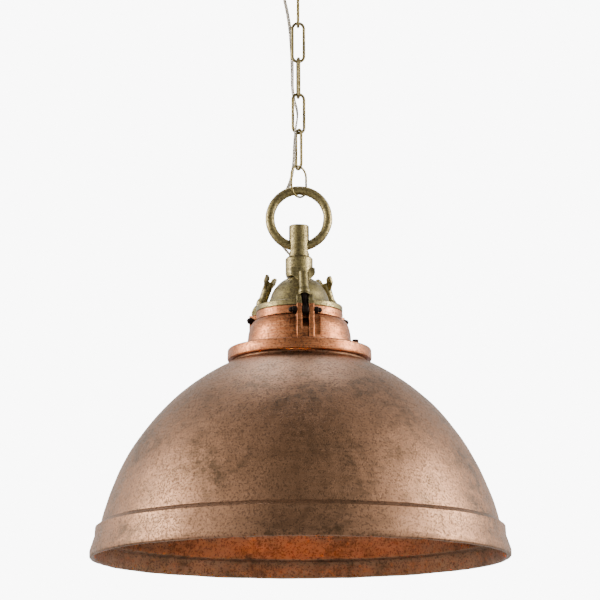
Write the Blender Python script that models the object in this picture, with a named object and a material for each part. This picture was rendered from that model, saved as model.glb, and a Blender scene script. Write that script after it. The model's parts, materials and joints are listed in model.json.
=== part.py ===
"""A nautical dome pendant: cast shade, clamped neck, brass cap and stem, ring, chain and canopy.

Metres, +Z up. The origin is the middle of the ceiling face, so the lamp hangs below it.
Heights in this file are measured up from the plane that the shade's rim lies in, and
`down(height)` turns such a height into a place under the ceiling. Azimuths are degrees
from the front (-Y) towards +X.
"""

import math

import bmesh
import bpy
from mathutils import Matrix, Vector

# Clearance between pieces that touch.
GAP = 0.0003

# Shade: a cast dome with a flared band and a round lip.
RIM_RADIUS = 0.2668
LIP_RADIUS = 0.0028
BAND_TOP_RADIUS = 0.2602
BAND_TOP = 0.0388
BOWL_FOOT = 0.0442
BOWL_TOP = 0.2485
BOWL_WIDTH = 0.26616
BOWL_BASE = -0.09157
BOWL_HEIGHT = 0.36454
BOWL_LEAN = 2.482
BOWL_SWELL = 1.774
SHADE_WALL = 0.0036
SHADE_TOP = 0.2548
SHADE_LIP_RADIUS = 0.0865
SHADE_MOUTH_RADIUS = 0.0620
LEDGE_HEIGHT = 0.0235
LEDGE_RADIUS = 0.2500

# Collar: the thick ring between the shade and the neck.
COLLAR_BOTTOM = SHADE_TOP + GAP
COLLAR_TOP = 0.2695
COLLAR_RADIUS = 0.0930
COLLAR_BORE = 0.0460
COLLAR_SCREW_CIRCLE = 0.0815
COLLAR_SCREW_AZIMUTHS = {"front": 61.0, "rear": 241.0}
NECK_SCREW_CIRCLE = 0.0540
NECK_SCREW_AZIMUTHS = (67.0, 187.0, 307.0)
SCREW_RADIUS = 0.0025
SCREW_HEAD_RADIUS = 0.0041
SCREW_HEAD_HEIGHT = 0.0055

# Neck: a bulged casting under a straight band, with three forked brackets.
NECK_BOTTOM = COLLAR_TOP + GAP
NECK_RADIUS = 0.0670
BULGE_TOP_RADIUS = 0.0540
BULGE_TOP = 0.3065
BULGE_POWER = 2.5
BAND_RADIUS = 0.0555
NECK_TOP = 0.3180
NECK_BORE = 0.0470

# Latches: three swing bolts, each on a pin in its bracket, leaning in over the cap's lugs.
LATCH_AZIMUTHS = {"front": 7.0, "right": 127.0, "left": 247.0}
PIN_CIRCLE = 0.0625
PIN_HEIGHT = 0.3098
PIN_RADIUS = 0.0025
BOLT_LEAN = math.radians(21.5)
BOLT_RADIUS = 0.0039
BOLT_LENGTH = 0.0480
EYE_RADIUS = 0.0062
EYE_WIDTH = 0.0078
SLOT_WIDTH = 0.0088
FORK_WIDTH = 0.0220
FORK_FACE = 0.0665
FORK_BOTTOM = 0.2740
POCKET_WIDTH = 0.0090
POCKET_FLOOR = ((0.0630, 0.2775), (0.0630, 0.2880), (0.0575, 0.3010), (0.0575, 0.3155))
CUT_REACH = 0.0720
NOTCH_RADIUS = 0.0512
PIN_HALF_LENGTH = 0.0188
PIN_NUT_RADIUS = 0.0046
PIN_NUT_END = 0.0165
PIN_CROWN_RADIUS = 0.0034
PIN_CROWN_END = 0.0192
PIN_DOME_END = 0.0216
LUG_FACE = 0.0630
LUG_ROOT = 0.0480
SEAT_RADIUS = 0.0216
WASHER_RADIUS = 0.0073
WASHER_THICKNESS = 0.0017
NUT_RADIUS = 0.0076
NUT_TOP_RADIUS = 0.0066
NUT_BOTTOM = SEAT_RADIUS + 2 * GAP + WASHER_THICKNESS
NUT_TOP = 0.0567
WING_SPAN = 0.0310
WING_TOP = 0.0665
WING_THICKNESS = 0.0036
WING_ROOT_RADIUS = 0.0052
WING_ROOT_BOTTOM = 0.0450

# Cap: a brass dome on a flange that closes the neck.
CAP_BOTTOM = NECK_TOP + GAP
FLANGE_TOP = 0.3256
FLANGE_RADIUS = 0.0560
DOME_CENTRE = 0.3280
DOME_RADIUS = 0.0384
DOME_WALL = 0.0040
DOME_HOLE = 0.0082

# Stem: a collar and a drilled shank that the ring passes through.
STEM_COLLAR_BOTTOM = 0.3662
STEM_COLLAR_TOP = 0.3916
STEM_COLLAR_RADIUS = 0.0178
STEM_RADIUS = 0.0133
STEM_TOP = 0.4337
STEM_TAIL = 0.3450
STEM_TAIL_RADIUS = DOME_HOLE - GAP

# Ring, connecting link and chain, from the bottom up.
RING_CENTRE = 0.4435
RING_RADIUS = 0.0377
RING_WIRE = 0.0060
# The thick ring bears on the sides of the oval's bend, so it sits this far over the bottom.
RING_SEAT = 0.0012
OVAL_LENGTH = 0.0445
OVAL_WIDTH = 0.0300
OVAL_WIRE = 0.0015
OVAL_TURN = 45.0
LINK_LENGTH = 0.0570
LINK_WIDTH = 0.0190
LINK_WIRE = 0.0020
LINK_TURNS = (90.0, 0.0, 98.0, 12.0, 117.0)
LOOP_RADIUS = 0.0115
LOOP_WIRE = 0.0025

# Canopy: the dish on the ceiling and what it hides.
CEILING = 0.8180
CANOPY_RADIUS = 0.0650
CANOPY_FLOOR = 0.7905
CANOPY_FLAT = 0.0340
CANOPY_WALL = 0.0015
BARREL_RADIUS = 0.0090
CANOPY_COLLAR_RADIUS = 0.0160
STRAP_SIZE = (0.1080, 0.0200, 0.0030)
STRAP_SLOT = (0.0100, 0.0050)
STRAP_SLOT_PITCH = 0.0889
STRAP_NUT_ACROSS = 0.0160
STRAP_NUT_HEIGHT = 0.0080
NIPPLE_RADIUS = 0.0048
NIPPLE_BORE = 0.0030
NIPPLE_BOTTOM = 0.7960
CANOPY_COLLAR_HEIGHT = 0.0080
GROMMET_RADIUS = 0.0048
GROMMET_FLANGE = 0.0065
BLOCK_HALF = (0.0090, 0.0085)
BLOCK_BOTTOM = 0.8018

# Lamp holder and lamp, inside the neck.
HOLDER_RADIUS = 0.0210
HOLDER_BOTTOM = 0.2860
HOLDER_TOP = 0.3360
SOCKET_RADIUS = 0.0143
SOCKET_ROOF = 0.3250
SHELL_RADIUS = 0.0140
SHELL_BOTTOM = 0.2890
SHELL_TOP = 0.3160
LOCKNUT_ACROSS = 0.0200
LOCKNUT_HEIGHT = 0.0060
HOLDER_NIPPLE_TOP = 0.3590
HOLDER_THREAD = 0.0065
LAMP_CAP_RADIUS = 0.0130
LAMP_CAP_BOTTOM = 0.2918
LAMP_CAP_TOP = 0.3145
LAMP_NECK_RADIUS = 0.0120
GLOBE_RADIUS = 0.0300
GLOBE_CENTRE = 0.2350
GLASS_WALL = 0.0008

# Supply cord: the route's own points, as (x, y, height).
CORD_RADIUS = 0.0024
CORD_EXIT_LEAN = math.radians(40.0)
GLAND_RADIUS = 0.0050
GLAND_FLANGE = 0.0072
GLAND_TAIL = 0.0075
GLAND_NOSE = 0.0095
CORD_ROUTE = (
    (-0.0240, 0.0000, 0.8015),
    (-0.0240, 0.0000, 0.7880),
    (-0.0230, 0.0002, 0.7700),
    (-0.0190, 0.0016, 0.7480),
    (-0.0145, 0.0044, 0.7270),
    (-0.0112, 0.0068, 0.7060),
    (-0.0094, 0.0074, 0.6850),
    (-0.0084, 0.0068, 0.6640),
    (-0.0080, 0.0056, 0.6420),
    (-0.0078, 0.0062, 0.6230),
    (-0.0056, 0.0070, 0.6060),
    (-0.0022, 0.0030, 0.5920),
    (-0.0016, -0.0040, 0.5780),
    (-0.0042, -0.0062, 0.5600),
    (-0.0058, -0.0036, 0.5400),
    (-0.0066, -0.0004, 0.5200),
    (-0.0092, 0.0042, 0.5020),
    (-0.0140, 0.0086, 0.4880),
    (-0.0215, 0.0100, 0.4750),
    (-0.0300, 0.0102, 0.4660),
    (-0.0362, 0.0104, 0.4530),
    (-0.0372, 0.0108, 0.4390),
    (-0.0330, 0.0120, 0.4260),
    (-0.0250, 0.0152, 0.4150),
    (-0.0168, 0.0220, 0.4062),
    (-0.0092, 0.0310, 0.3985),
    (-0.0036, 0.0388, 0.3890),
    (-0.0006, 0.0400, 0.3788),
    (0.0000, 0.03471, 0.36937),
    (0.0000, 0.03021, 0.36400),
    (0.0000, 0.02571, 0.35864),
    (0.0000, 0.02121, 0.35328),
    (0.0000, 0.0172, 0.3474),
    (0.0000, 0.0150, 0.3378),
)
CORD_STEPS = 2

# Faces round the large turned pieces.
ROUND = 44


def down(height):
    """A height above the rim plane, as a place under the ceiling."""
    return height - CEILING


def clear_scene():
    """Empty the scene of whatever was in it."""
    for old in list(bpy.data.objects):
        bpy.data.objects.remove(old, do_unlink=True)


def make_material(name, colour, roughness, metallic, transmission=0.0):
    """A Principled material; the colour is linear."""
    material = bpy.data.materials.new(name)
    material.use_nodes = True
    shader = material.node_tree.nodes["Principled BSDF"]
    shader.inputs["Base Color"].default_value = (*colour, 1.0)
    shader.inputs["Roughness"].default_value = roughness
    shader.inputs["Metallic"].default_value = metallic
    shader.inputs["Transmission Weight"].default_value = transmission
    return material


def make_materials():
    """The finishes, by the names the builders below use."""
    return {
        "copper": make_material("antique_copper", (0.34, 0.15, 0.08), 0.42, 1.0),
        "bright_copper": make_material("rubbed_copper", (0.50, 0.22, 0.11), 0.36, 1.0),
        "brass": make_material("antique_brass", (0.36, 0.30, 0.17), 0.38, 1.0),
        "iron": make_material("black_iron", (0.03, 0.025, 0.025), 0.55, 1.0),
        "steel": make_material("zinc_steel", (0.55, 0.55, 0.55), 0.35, 1.0),
        "nickel": make_material("nickel_shell", (0.62, 0.58, 0.50), 0.25, 1.0),
        "porcelain": make_material("white_porcelain", (0.80, 0.78, 0.72), 0.25, 0.0),
        "glass": make_material("frosted_glass", (0.95, 0.93, 0.88), 0.30, 0.0, 0.7),
        "plastic": make_material("black_plastic", (0.03, 0.03, 0.03), 0.50, 0.0),
        "clear": make_material("clear_vinyl", (0.85, 0.85, 0.82), 0.15, 0.0, 0.8),
    }


def add_object(name, data, material=None, parent=None):
    """Link data into the scene as a named object, on a parent if it has one."""
    made = bpy.data.objects.new(name, data)
    bpy.context.scene.collection.objects.link(made)
    made.parent = parent
    if material:
        data.materials.append(material)
    return made


def add_empty(name, location, parent=None, turn=0.0):
    """An empty that pieces hang from, turned about Z."""
    empty = add_object(name, None, None, parent)
    empty.location = location
    empty.rotation_euler.z = turn
    return empty


def finish_mesh(name, bm, material, parent=None, smooth=True):
    """Turn a bmesh into an object, with its faces outwards and sharp edges kept."""
    bmesh.ops.remove_doubles(bm, verts=bm.verts, dist=1e-6)
    bmesh.ops.recalc_face_normals(bm, faces=bm.faces)
    mesh = bpy.data.meshes.new(name)
    bm.to_mesh(mesh)
    bm.free()
    if smooth:
        mesh.shade_smooth()
        mesh.set_sharp_from_angle(angle=math.radians(35))
    return add_object(name, mesh, material, parent)


def arc(centre_x, centre_z, radius, start, end, count):
    """Points on a round stretch of an outline, from one angle to another in degrees."""
    angles = [math.radians(start + (end - start) * i / (count - 1)) for i in range(count)]
    return [(centre_x + radius * math.cos(a), centre_z + radius * math.sin(a)) for a in angles]


def inset_line(points, distance):
    """An open outline moved sideways by a distance, to the left of its direction."""
    moved = []
    for i, (x, z) in enumerate(points):
        before = points[max(i - 1, 0)]
        after = points[min(i + 1, len(points) - 1)]
        along = Vector((after[0] - before[0], after[1] - before[1])).normalized()
        moved.append((x - along.y * distance, z + along.x * distance))
    return moved


def turn_profile(name, profile, material, parent=None, segments=ROUND):
    """A solid of revolution about Z from a closed outline of (radius, height) points."""
    bm = bmesh.new()
    verts = [bm.verts.new((r, 0.0, z)) for r, z in profile]
    edges = [bm.edges.new((verts[i - 1], verts[i])) for i in range(len(verts))]
    bmesh.ops.spin(
        bm, geom=verts + edges, axis=(0, 0, 1), cent=(0, 0, 0),
        angle=math.tau, steps=segments, use_merge=True,
    )
    bmesh.ops.dissolve_degenerate(bm, dist=1e-7, edges=bm.edges)
    return finish_mesh(name, bm, material, parent)


def turn_rod(name, profile, material, parent=None, segments=24):
    """A solid of revolution whose outline starts and ends on the axis."""
    bm = bmesh.new()
    verts = [bm.verts.new((r, 0.0, z)) for r, z in profile]
    edges = [bm.edges.new((verts[i], verts[i + 1])) for i in range(len(verts) - 1)]
    bmesh.ops.spin(
        bm, geom=verts + edges, axis=(0, 0, 1), cent=(0, 0, 0),
        angle=math.tau, steps=segments, use_merge=True,
    )
    return finish_mesh(name, bm, material, parent)


def extrude_outline(name, outline, width, parent=None):
    """A plate whose outline is given as (y, z) points, extruded along X about its middle."""
    bm = bmesh.new()
    verts = [bm.verts.new((-width / 2, y, z)) for y, z in outline]
    face = bm.faces.new(verts)
    made = bmesh.ops.extrude_face_region(bm, geom=[face])
    moved = [v for v in made["geom"] if isinstance(v, bmesh.types.BMVert)]
    bmesh.ops.translate(bm, vec=(width, 0, 0), verts=moved)
    return finish_mesh(name, bm, None, parent, smooth=False)


def add_box(name, low, high, material=None, parent=None):
    """A plain block between two corners."""
    bm = bmesh.new()
    bmesh.ops.create_cube(bm, size=1.0)
    size = Vector(high) - Vector(low)
    middle = (Vector(high) + Vector(low)) / 2
    bmesh.ops.scale(bm, vec=size, verts=bm.verts)
    bmesh.ops.translate(bm, vec=middle, verts=bm.verts)
    return finish_mesh(name, bm, material, parent, smooth=False)


def hexagon_nut(name, across, bottom, top, bore, material, parent=None):
    """A hexagon nut about Z, with a plain bore."""
    bm = bmesh.new()
    corner = across / math.sqrt(3)
    bmesh.ops.create_circle(bm, cap_ends=False, radius=corner, segments=6)
    bmesh.ops.create_circle(bm, cap_ends=False, radius=bore, segments=12)
    bmesh.ops.translate(bm, vec=(0, 0, bottom), verts=bm.verts)
    filled = bmesh.ops.bridge_loops(bm, edges=bm.edges)["faces"]
    made = bmesh.ops.extrude_face_region(bm, geom=filled)
    moved = [v for v in made["geom"] if isinstance(v, bmesh.types.BMVert)]
    bmesh.ops.translate(bm, vec=(0, 0, top - bottom), verts=moved)
    return finish_mesh(name, bm, material, parent, smooth=False)


def combine(target, helper, operation):
    """Cut a helper from a piece, or join it on, with a Boolean, and hide the helper."""
    helper.hide_render = True
    helper.display_type = "WIRE"
    modifier = target.modifiers.new(helper.name, "BOOLEAN")
    modifier.operation = operation
    modifier.object = helper
    return target


def drill(target, name, radius, start, end, segments=12):
    """Cut a round hole between two points, in the target's own coordinates."""
    start, end = Vector(start), Vector(end)
    along = end - start
    bm = bmesh.new()
    bmesh.ops.create_cone(
        bm, cap_ends=True, segments=segments, radius1=radius, radius2=radius,
        depth=along.length,
    )
    turn = Vector((0, 0, 1)).rotation_difference(along).to_matrix().to_4x4()
    place = Matrix.Translation((start + end) / 2) @ turn
    bmesh.ops.transform(bm, matrix=place, verts=bm.verts)
    cutter = finish_mesh(name, bm, None, target.parent)
    cutter.location = target.location
    cutter.rotation_euler = target.rotation_euler
    return combine(target, cutter, "DIFFERENCE")


def wire_loop(name, length, width, wire, turn, rise, material, corner_steps=7):
    """A closed wire link in a vertical plane. Its top wire stands `rise` over its origin."""
    bend = width / 2 - wire
    straight = length - width
    path = []
    for centre, start in ((rise - bend, 0.0), (rise - bend - straight, math.pi)):
        for i in range(corner_steps + 1):
            angle = start + math.pi * i / corner_steps
            path.append((bend * math.cos(angle), 0.0, centre + bend * math.sin(angle)))
    curve = bpy.data.curves.new(name, "CURVE")
    curve.dimensions = "3D"
    curve.bevel_depth = wire
    curve.bevel_resolution = 2
    spline = curve.splines.new("POLY")
    spline.points.add(len(path) - 1)
    for point, place in zip(spline.points, path):
        point.co = (*place, 1.0)
    spline.use_cyclic_u = True
    link = add_object(name, curve, material)
    link.rotation_euler.z = math.radians(turn)
    return link


def place_on(azimuth, radius, height):
    """A point at an azimuth from the front, in the lamp's own coordinates."""
    a = math.radians(azimuth)
    return Vector((radius * math.sin(a), -radius * math.cos(a), height))


# --- Heights of the wire-to-wire contacts, from the stem up to the canopy ---

LAMP_PIVOT = RING_CENTRE - RING_RADIUS
RING_PIVOT = RING_CENTRE + RING_RADIUS - RING_WIRE - RING_SEAT - OVAL_WIRE
OVAL_TOP = RING_PIVOT + OVAL_LENGTH - 2 * OVAL_WIRE
OVAL_PIVOT = OVAL_TOP - OVAL_WIRE - GAP - LINK_WIRE
LINK_RISE = LINK_LENGTH - 2 * LINK_WIRE
LINK_STEP = LINK_RISE - 2 * LINK_WIRE - GAP
LINK_COUNT = len(LINK_TURNS)
CHAIN_TOP = OVAL_PIVOT + LINK_RISE + (LINK_COUNT - 1) * LINK_STEP
LOOP_BOTTOM = CHAIN_TOP - LINK_WIRE - GAP - LOOP_WIRE


def bowl_radius(height):
    """The outer radius of the shade's dome at a height."""
    rise = (height - BOWL_BASE) / BOWL_HEIGHT
    return BOWL_WIDTH * (1 - rise**BOWL_LEAN) ** (1 / BOWL_SWELL)


def shade_profile():
    """The shade's closed outline: lip, flared band, dome, top seat, then back down inside."""
    lip_centre = RIM_RADIUS - LIP_RADIUS
    steps = 8
    rise = BOWL_TOP - BOWL_FOOT
    heights = [BOWL_FOOT + rise * math.sin(math.pi / 2 * i / steps) for i in range(steps + 1)]
    bowl = [(bowl_radius(h), h) for h in heights]
    inner_bowl = inset_line(bowl, SHADE_WALL)
    profile = arc(lip_centre, LIP_RADIUS, LIP_RADIUS, 180, 360, 5)
    profile += [(RIM_RADIUS, 0.0085), (BAND_TOP_RADIUS, BAND_TOP - 0.001)]
    profile += [(BAND_TOP_RADIUS - 0.0015, BAND_TOP + 0.0008)]
    profile += bowl[:-1]
    profile += [(SHADE_LIP_RADIUS + 0.0012, BOWL_TOP + 0.0012), (SHADE_LIP_RADIUS, SHADE_TOP - 0.003)]
    profile += [(SHADE_LIP_RADIUS, SHADE_TOP), (SHADE_MOUTH_RADIUS, SHADE_TOP)]
    profile += [(SHADE_MOUTH_RADIUS, SHADE_TOP - SHADE_WALL)]
    profile += [(SHADE_LIP_RADIUS - 0.006, SHADE_TOP - SHADE_WALL)]
    profile += list(reversed(inner_bowl[1:-1]))
    profile += [(LEDGE_RADIUS, LEDGE_HEIGHT + 0.0050), (RIM_RADIUS - 0.0080, LEDGE_HEIGHT)]
    return profile


def build_shade(materials, lamp):
    """The cast dome, threaded for the collar's two screws."""
    shade = turn_profile("shade", shade_profile(), materials["copper"], lamp)
    for side, azimuth in COLLAR_SCREW_AZIMUTHS.items():
        top = place_on(azimuth, COLLAR_SCREW_CIRCLE, SHADE_TOP + 0.002)
        bottom = place_on(azimuth, COLLAR_SCREW_CIRCLE, SHADE_TOP - 0.008)
        drill(shade, f"cut_shade_screw_{side}", SCREW_RADIUS + GAP, bottom, top)


def build_collar(materials, lamp):
    """The collar ring, with clearance holes for its own two screws and the neck's three."""
    soft = 0.0022
    profile = [(COLLAR_BORE, COLLAR_BOTTOM), (COLLAR_RADIUS - soft, COLLAR_BOTTOM)]
    profile += arc(COLLAR_RADIUS - soft, COLLAR_BOTTOM + soft, soft, -60, 0, 3)
    profile += arc(COLLAR_RADIUS - soft, COLLAR_TOP - soft, soft, 0, 60, 3)
    profile += [(COLLAR_RADIUS - soft, COLLAR_TOP), (COLLAR_BORE, COLLAR_TOP)]
    collar = turn_profile("collar_ring", profile, materials["bright_copper"], lamp)
    for side, azimuth in COLLAR_SCREW_AZIMUTHS.items():
        low = place_on(azimuth, COLLAR_SCREW_CIRCLE, COLLAR_BOTTOM - 0.003)
        high = place_on(azimuth, COLLAR_SCREW_CIRCLE, COLLAR_TOP + 0.003)
        drill(collar, f"cut_collar_screw_{side}", SCREW_RADIUS + GAP, low, high)
    head_room = SCREW_HEAD_HEIGHT + GAP
    for number, azimuth in enumerate(NECK_SCREW_AZIMUTHS, 1):
        low = place_on(azimuth, NECK_SCREW_CIRCLE, COLLAR_BOTTOM - 0.003)
        seat = place_on(azimuth, NECK_SCREW_CIRCLE, COLLAR_BOTTOM + head_room)
        high = place_on(azimuth, NECK_SCREW_CIRCLE, COLLAR_TOP + 0.003)
        drill(collar, f"cut_counterbore_{number}", SCREW_HEAD_RADIUS + GAP, low, seat)
        drill(collar, f"cut_neck_screw_{number}", SCREW_RADIUS + GAP, low, high)


def cap_screw(name, tip, head_side, material, parent):
    """A socket-head screw about Z: its head starts at height 0 and points to head_side."""
    s = head_side
    profile = [(0.0, tip * -s), (SCREW_RADIUS, tip * -s), (SCREW_RADIUS, 0.0)]
    profile += [(SCREW_HEAD_RADIUS, 0.0), (SCREW_HEAD_RADIUS, s * (SCREW_HEAD_HEIGHT - 0.0006))]
    profile += [(SCREW_HEAD_RADIUS - 0.0006, s * SCREW_HEAD_HEIGHT), (0.0021, s * SCREW_HEAD_HEIGHT)]
    profile += [(0.0021, s * 0.0025), (0.0, s * 0.0025)]
    return turn_rod(name, profile, material, parent, 12)


def build_screws(materials, lamp):
    """Two screws down through the collar into the shade, three up into the neck."""
    for side, azimuth in COLLAR_SCREW_AZIMUTHS.items():
        reach = COLLAR_TOP - SHADE_TOP + SHADE_WALL + 0.002
        screw = cap_screw(f"collar_screw_{side}", reach, 1, materials["iron"], lamp)
        screw.location = place_on(azimuth, COLLAR_SCREW_CIRCLE, COLLAR_TOP + GAP - LAMP_PIVOT)
    for number, azimuth in enumerate(NECK_SCREW_AZIMUTHS, 1):
        seat = COLLAR_BOTTOM + SCREW_HEAD_HEIGHT
        reach = NECK_BOTTOM - seat + 0.0045
        screw = cap_screw(f"neck_screw_{number}", reach, -1, materials["steel"], lamp)
        screw.location = place_on(azimuth, NECK_SCREW_CIRCLE, seat - LAMP_PIVOT)


def neck_profile():
    """The neck's closed outline: bulge, straight band, then back down inside."""
    steps = 6
    rise = BULGE_TOP - NECK_BOTTOM
    swell = NECK_RADIUS - BULGE_TOP_RADIUS
    bulge = []
    for i in range(steps + 1):
        t = math.sin(math.pi / 2 * i / steps)
        out = (1 - t**BULGE_POWER) ** (1 / BULGE_POWER)
        bulge.append((BULGE_TOP_RADIUS + swell * out, NECK_BOTTOM + rise * t))
    profile = [(NECK_SCREW_CIRCLE - 0.005, NECK_BOTTOM)] + bulge
    profile += [(BULGE_TOP_RADIUS, BULGE_TOP + 0.0006), (BAND_RADIUS, BULGE_TOP + 0.0012)]
    profile += [(BAND_RADIUS, NECK_TOP), (NECK_BORE, NECK_TOP), (NECK_BORE, BULGE_TOP + 0.001)]
    profile += [(BULGE_TOP_RADIUS - 0.002, BULGE_TOP - 0.006), (NECK_RADIUS - 0.006, 0.2880)]
    profile += [(NECK_RADIUS - 0.006, NECK_BOTTOM + 0.005)]
    profile += [(NECK_SCREW_CIRCLE - 0.005, NECK_BOTTOM + 0.005)]
    return profile


def latch_frame(name, azimuth, lamp):
    """An empty on a latch pin: -Y points out from the lamp and X runs along the pin."""
    place = place_on(azimuth, PIN_CIRCLE, PIN_HEIGHT - LAMP_PIVOT)
    return add_empty(name, place, lamp, math.radians(azimuth))


def outward(radius):
    """A radius from the lamp's axis, as a Y in a latch's own frame."""
    return PIN_CIRCLE - radius


def above_pin(height):
    """A height, as a Z in a latch's own frame."""
    return height - PIN_HEIGHT


def build_neck(materials, lamp, frames):
    """The bulged casting, with a slotted fork between two pockets at each latch."""
    neck = turn_profile("neck", neck_profile(), materials["bright_copper"], lamp)
    for number, azimuth in enumerate(NECK_SCREW_AZIMUTHS, 1):
        low = place_on(azimuth, NECK_SCREW_CIRCLE, NECK_BOTTOM - 0.003)
        high = place_on(azimuth, NECK_SCREW_CIRCLE, NECK_BOTTOM + 0.008)
        drill(neck, f"cut_neck_thread_{number}", SCREW_RADIUS + GAP, low, high)
    fork_top = above_pin(NECK_TOP)
    fork_bottom = above_pin(FORK_BOTTOM)
    root = outward(BAND_RADIUS - 0.003)
    slot_depth = BAND_RADIUS - 0.0012
    slot_floor = (
        (0.0635, FORK_BOTTOM + 0.0006), (0.0635, 0.2880),
        (slot_depth, 0.3010), (slot_depth, NECK_TOP + 0.002),
    )
    for side, frame in frames.items():
        fork_outline = [
            (outward(FORK_FACE), fork_bottom), (root, fork_bottom - 0.002),
            (root, fork_top), (outward(FORK_FACE - 0.0012), fork_top),
            (outward(FORK_FACE), fork_top - 0.0012),
        ]
        fork = extrude_outline(f"join_fork_{side}", fork_outline, FORK_WIDTH, frame)
        combine(neck, fork, "UNION")
        for hand, hand_name in ((-1, "left"), (1, "right")):
            middle = hand * (FORK_WIDTH / 2 + POCKET_WIDTH / 2 + GAP)
            pocket = recess(f"cut_pocket_{side}_{hand_name}", POCKET_FLOOR, POCKET_WIDTH, frame)
            pocket.location.x = middle
            combine(neck, pocket, "DIFFERENCE")
        combine(neck, recess(f"cut_slot_{side}", slot_floor, SLOT_WIDTH, frame), "DIFFERENCE")
        drill_pin_hole(neck, f"cut_pin_{side}", frame)


def recess(name, floor, width, frame):
    """A cutter from outside the neck in to a floor of (radius, height) points."""
    reach = outward(CUT_REACH)
    outline = [(reach, above_pin(floor[0][1]))]
    outline += [(outward(radius), above_pin(height)) for radius, height in floor]
    outline += [(reach, above_pin(floor[-1][1]))]
    return extrude_outline(name, outline, width, frame)


def drill_pin_hole(target, name, frame):
    """Cut the hole that the latch pin runs in, across both cheeks."""
    bm = bmesh.new()
    bmesh.ops.create_cone(
        bm, cap_ends=True, segments=12, radius1=PIN_RADIUS + GAP,
        radius2=PIN_RADIUS + GAP, depth=FORK_WIDTH + 0.004,
    )
    bmesh.ops.rotate(bm, cent=(0, 0, 0), matrix=Matrix.Rotation(math.pi / 2, 3, "Y"), verts=bm.verts)
    combine(target, finish_mesh(name, bm, None, frame), "DIFFERENCE")


def cap_profile():
    """The cap's closed outline: flange, fillet, dome, then back down inside."""
    inner = DOME_RADIUS - DOME_WALL
    top = math.degrees(math.acos(DOME_HOLE / DOME_RADIUS))
    inner_top = math.degrees(math.acos(DOME_HOLE / inner))
    profile = [(inner, CAP_BOTTOM), (FLANGE_RADIUS, CAP_BOTTOM)]
    profile += [(FLANGE_RADIUS, FLANGE_TOP - 0.0012), (FLANGE_RADIUS - 0.0012, FLANGE_TOP)]
    profile += [(0.0450, FLANGE_TOP + 0.0006), (0.0405, FLANGE_TOP + 0.0035)]
    profile += arc(0.0, DOME_CENTRE, DOME_RADIUS, 12, top, 8)
    profile += arc(0.0, DOME_CENTRE, inner, inner_top, 0, 6)
    return profile


def build_cap(materials, lamp, frames):
    """The dome and flange, with a forked pair of lugs over each latch pin."""
    cap = turn_profile("cap", cap_profile(), materials["brass"], lamp)
    start = math.degrees(math.acos(outward(LUG_FACE - 0.0012) / SEAT_RADIUS))
    end = math.degrees(math.acos(outward(LUG_ROOT) / SEAT_RADIUS))
    bottom = above_pin(CAP_BOTTOM)
    lug_width = FORK_WIDTH + 0.0005
    for side, frame in frames.items():
        outline = [(outward(LUG_FACE), bottom), (outward(LUG_FACE), SEAT_RADIUS * 0.93)]
        outline += arc(0.0, 0.0, SEAT_RADIUS, start, end, 5)
        outline += [(outward(LUG_ROOT), bottom)]
        lug = extrude_outline(f"join_lug_{side}", outline, lug_width, frame)
        combine(cap, lug, "UNION")
        notch = add_box(
            f"cut_notch_{side}",
            (-SLOT_WIDTH / 2, outward(CUT_REACH), above_pin(CAP_BOTTOM - 0.002)),
            (SLOT_WIDTH / 2, outward(NOTCH_RADIUS), SEAT_RADIUS + 0.009),
            None, frame,
        )
        combine(cap, notch, "DIFFERENCE")
    leaving = Vector((0.0, math.sin(CORD_EXIT_LEAN), math.cos(CORD_EXIT_LEAN)))
    middle = Vector((0.0, 0.0, DOME_CENTRE))
    start, end = middle + leaving * (DOME_RADIUS - 0.010), middle + leaving * (DOME_RADIUS + 0.006)
    drill(cap, "cut_cap_gland", GLAND_RADIUS + GAP, start, end, 16)


def build_latch(side, frame, materials):
    """Pin, its two domed nuts, the swing bolt, its washer and its wing nut."""
    half = PIN_HALF_LENGTH
    rod = [(0.0, -half), (PIN_RADIUS, -half), (PIN_RADIUS, half), (0.0, half)]
    pin = turn_rod(f"pivot_pin_{side}", rod, materials["iron"], frame, 12)
    pin.rotation_euler.y = math.pi / 2
    bore = PIN_RADIUS + GAP
    start = FORK_WIDTH / 2 + GAP
    profile = [(bore, start), (PIN_NUT_RADIUS, start), (PIN_NUT_RADIUS, PIN_NUT_END)]
    profile += [(PIN_CROWN_RADIUS, PIN_NUT_END + GAP), (PIN_CROWN_RADIUS, PIN_CROWN_END)]
    profile += [(0.0020, PIN_DOME_END - 0.0004), (0.0, PIN_DOME_END), (0.0, PIN_CROWN_END)]
    profile += [(bore, PIN_CROWN_END), (bore, start)]
    for number, hand in enumerate((-1, 1), 1):
        nut = turn_rod(f"pin_nut_{side}_{number}", profile, materials["iron"], frame, 12)
        nut.rotation_euler.y = hand * math.pi / 2
    lean = add_empty(f"lean_{side}", (0, 0, 0), frame)
    lean.rotation_euler.x = -BOLT_LEAN
    build_swing_bolt(side, lean, materials["iron"])
    washer = [(BOLT_RADIUS + GAP, SEAT_RADIUS + GAP), (WASHER_RADIUS, SEAT_RADIUS + GAP)]
    washer += [(WASHER_RADIUS, NUT_BOTTOM - GAP), (BOLT_RADIUS + GAP, NUT_BOTTOM - GAP)]
    turn_profile(f"washer_{side}", washer, materials["brass"], lean, 16)
    build_wing_nut(side, lean, materials["brass"])


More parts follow.
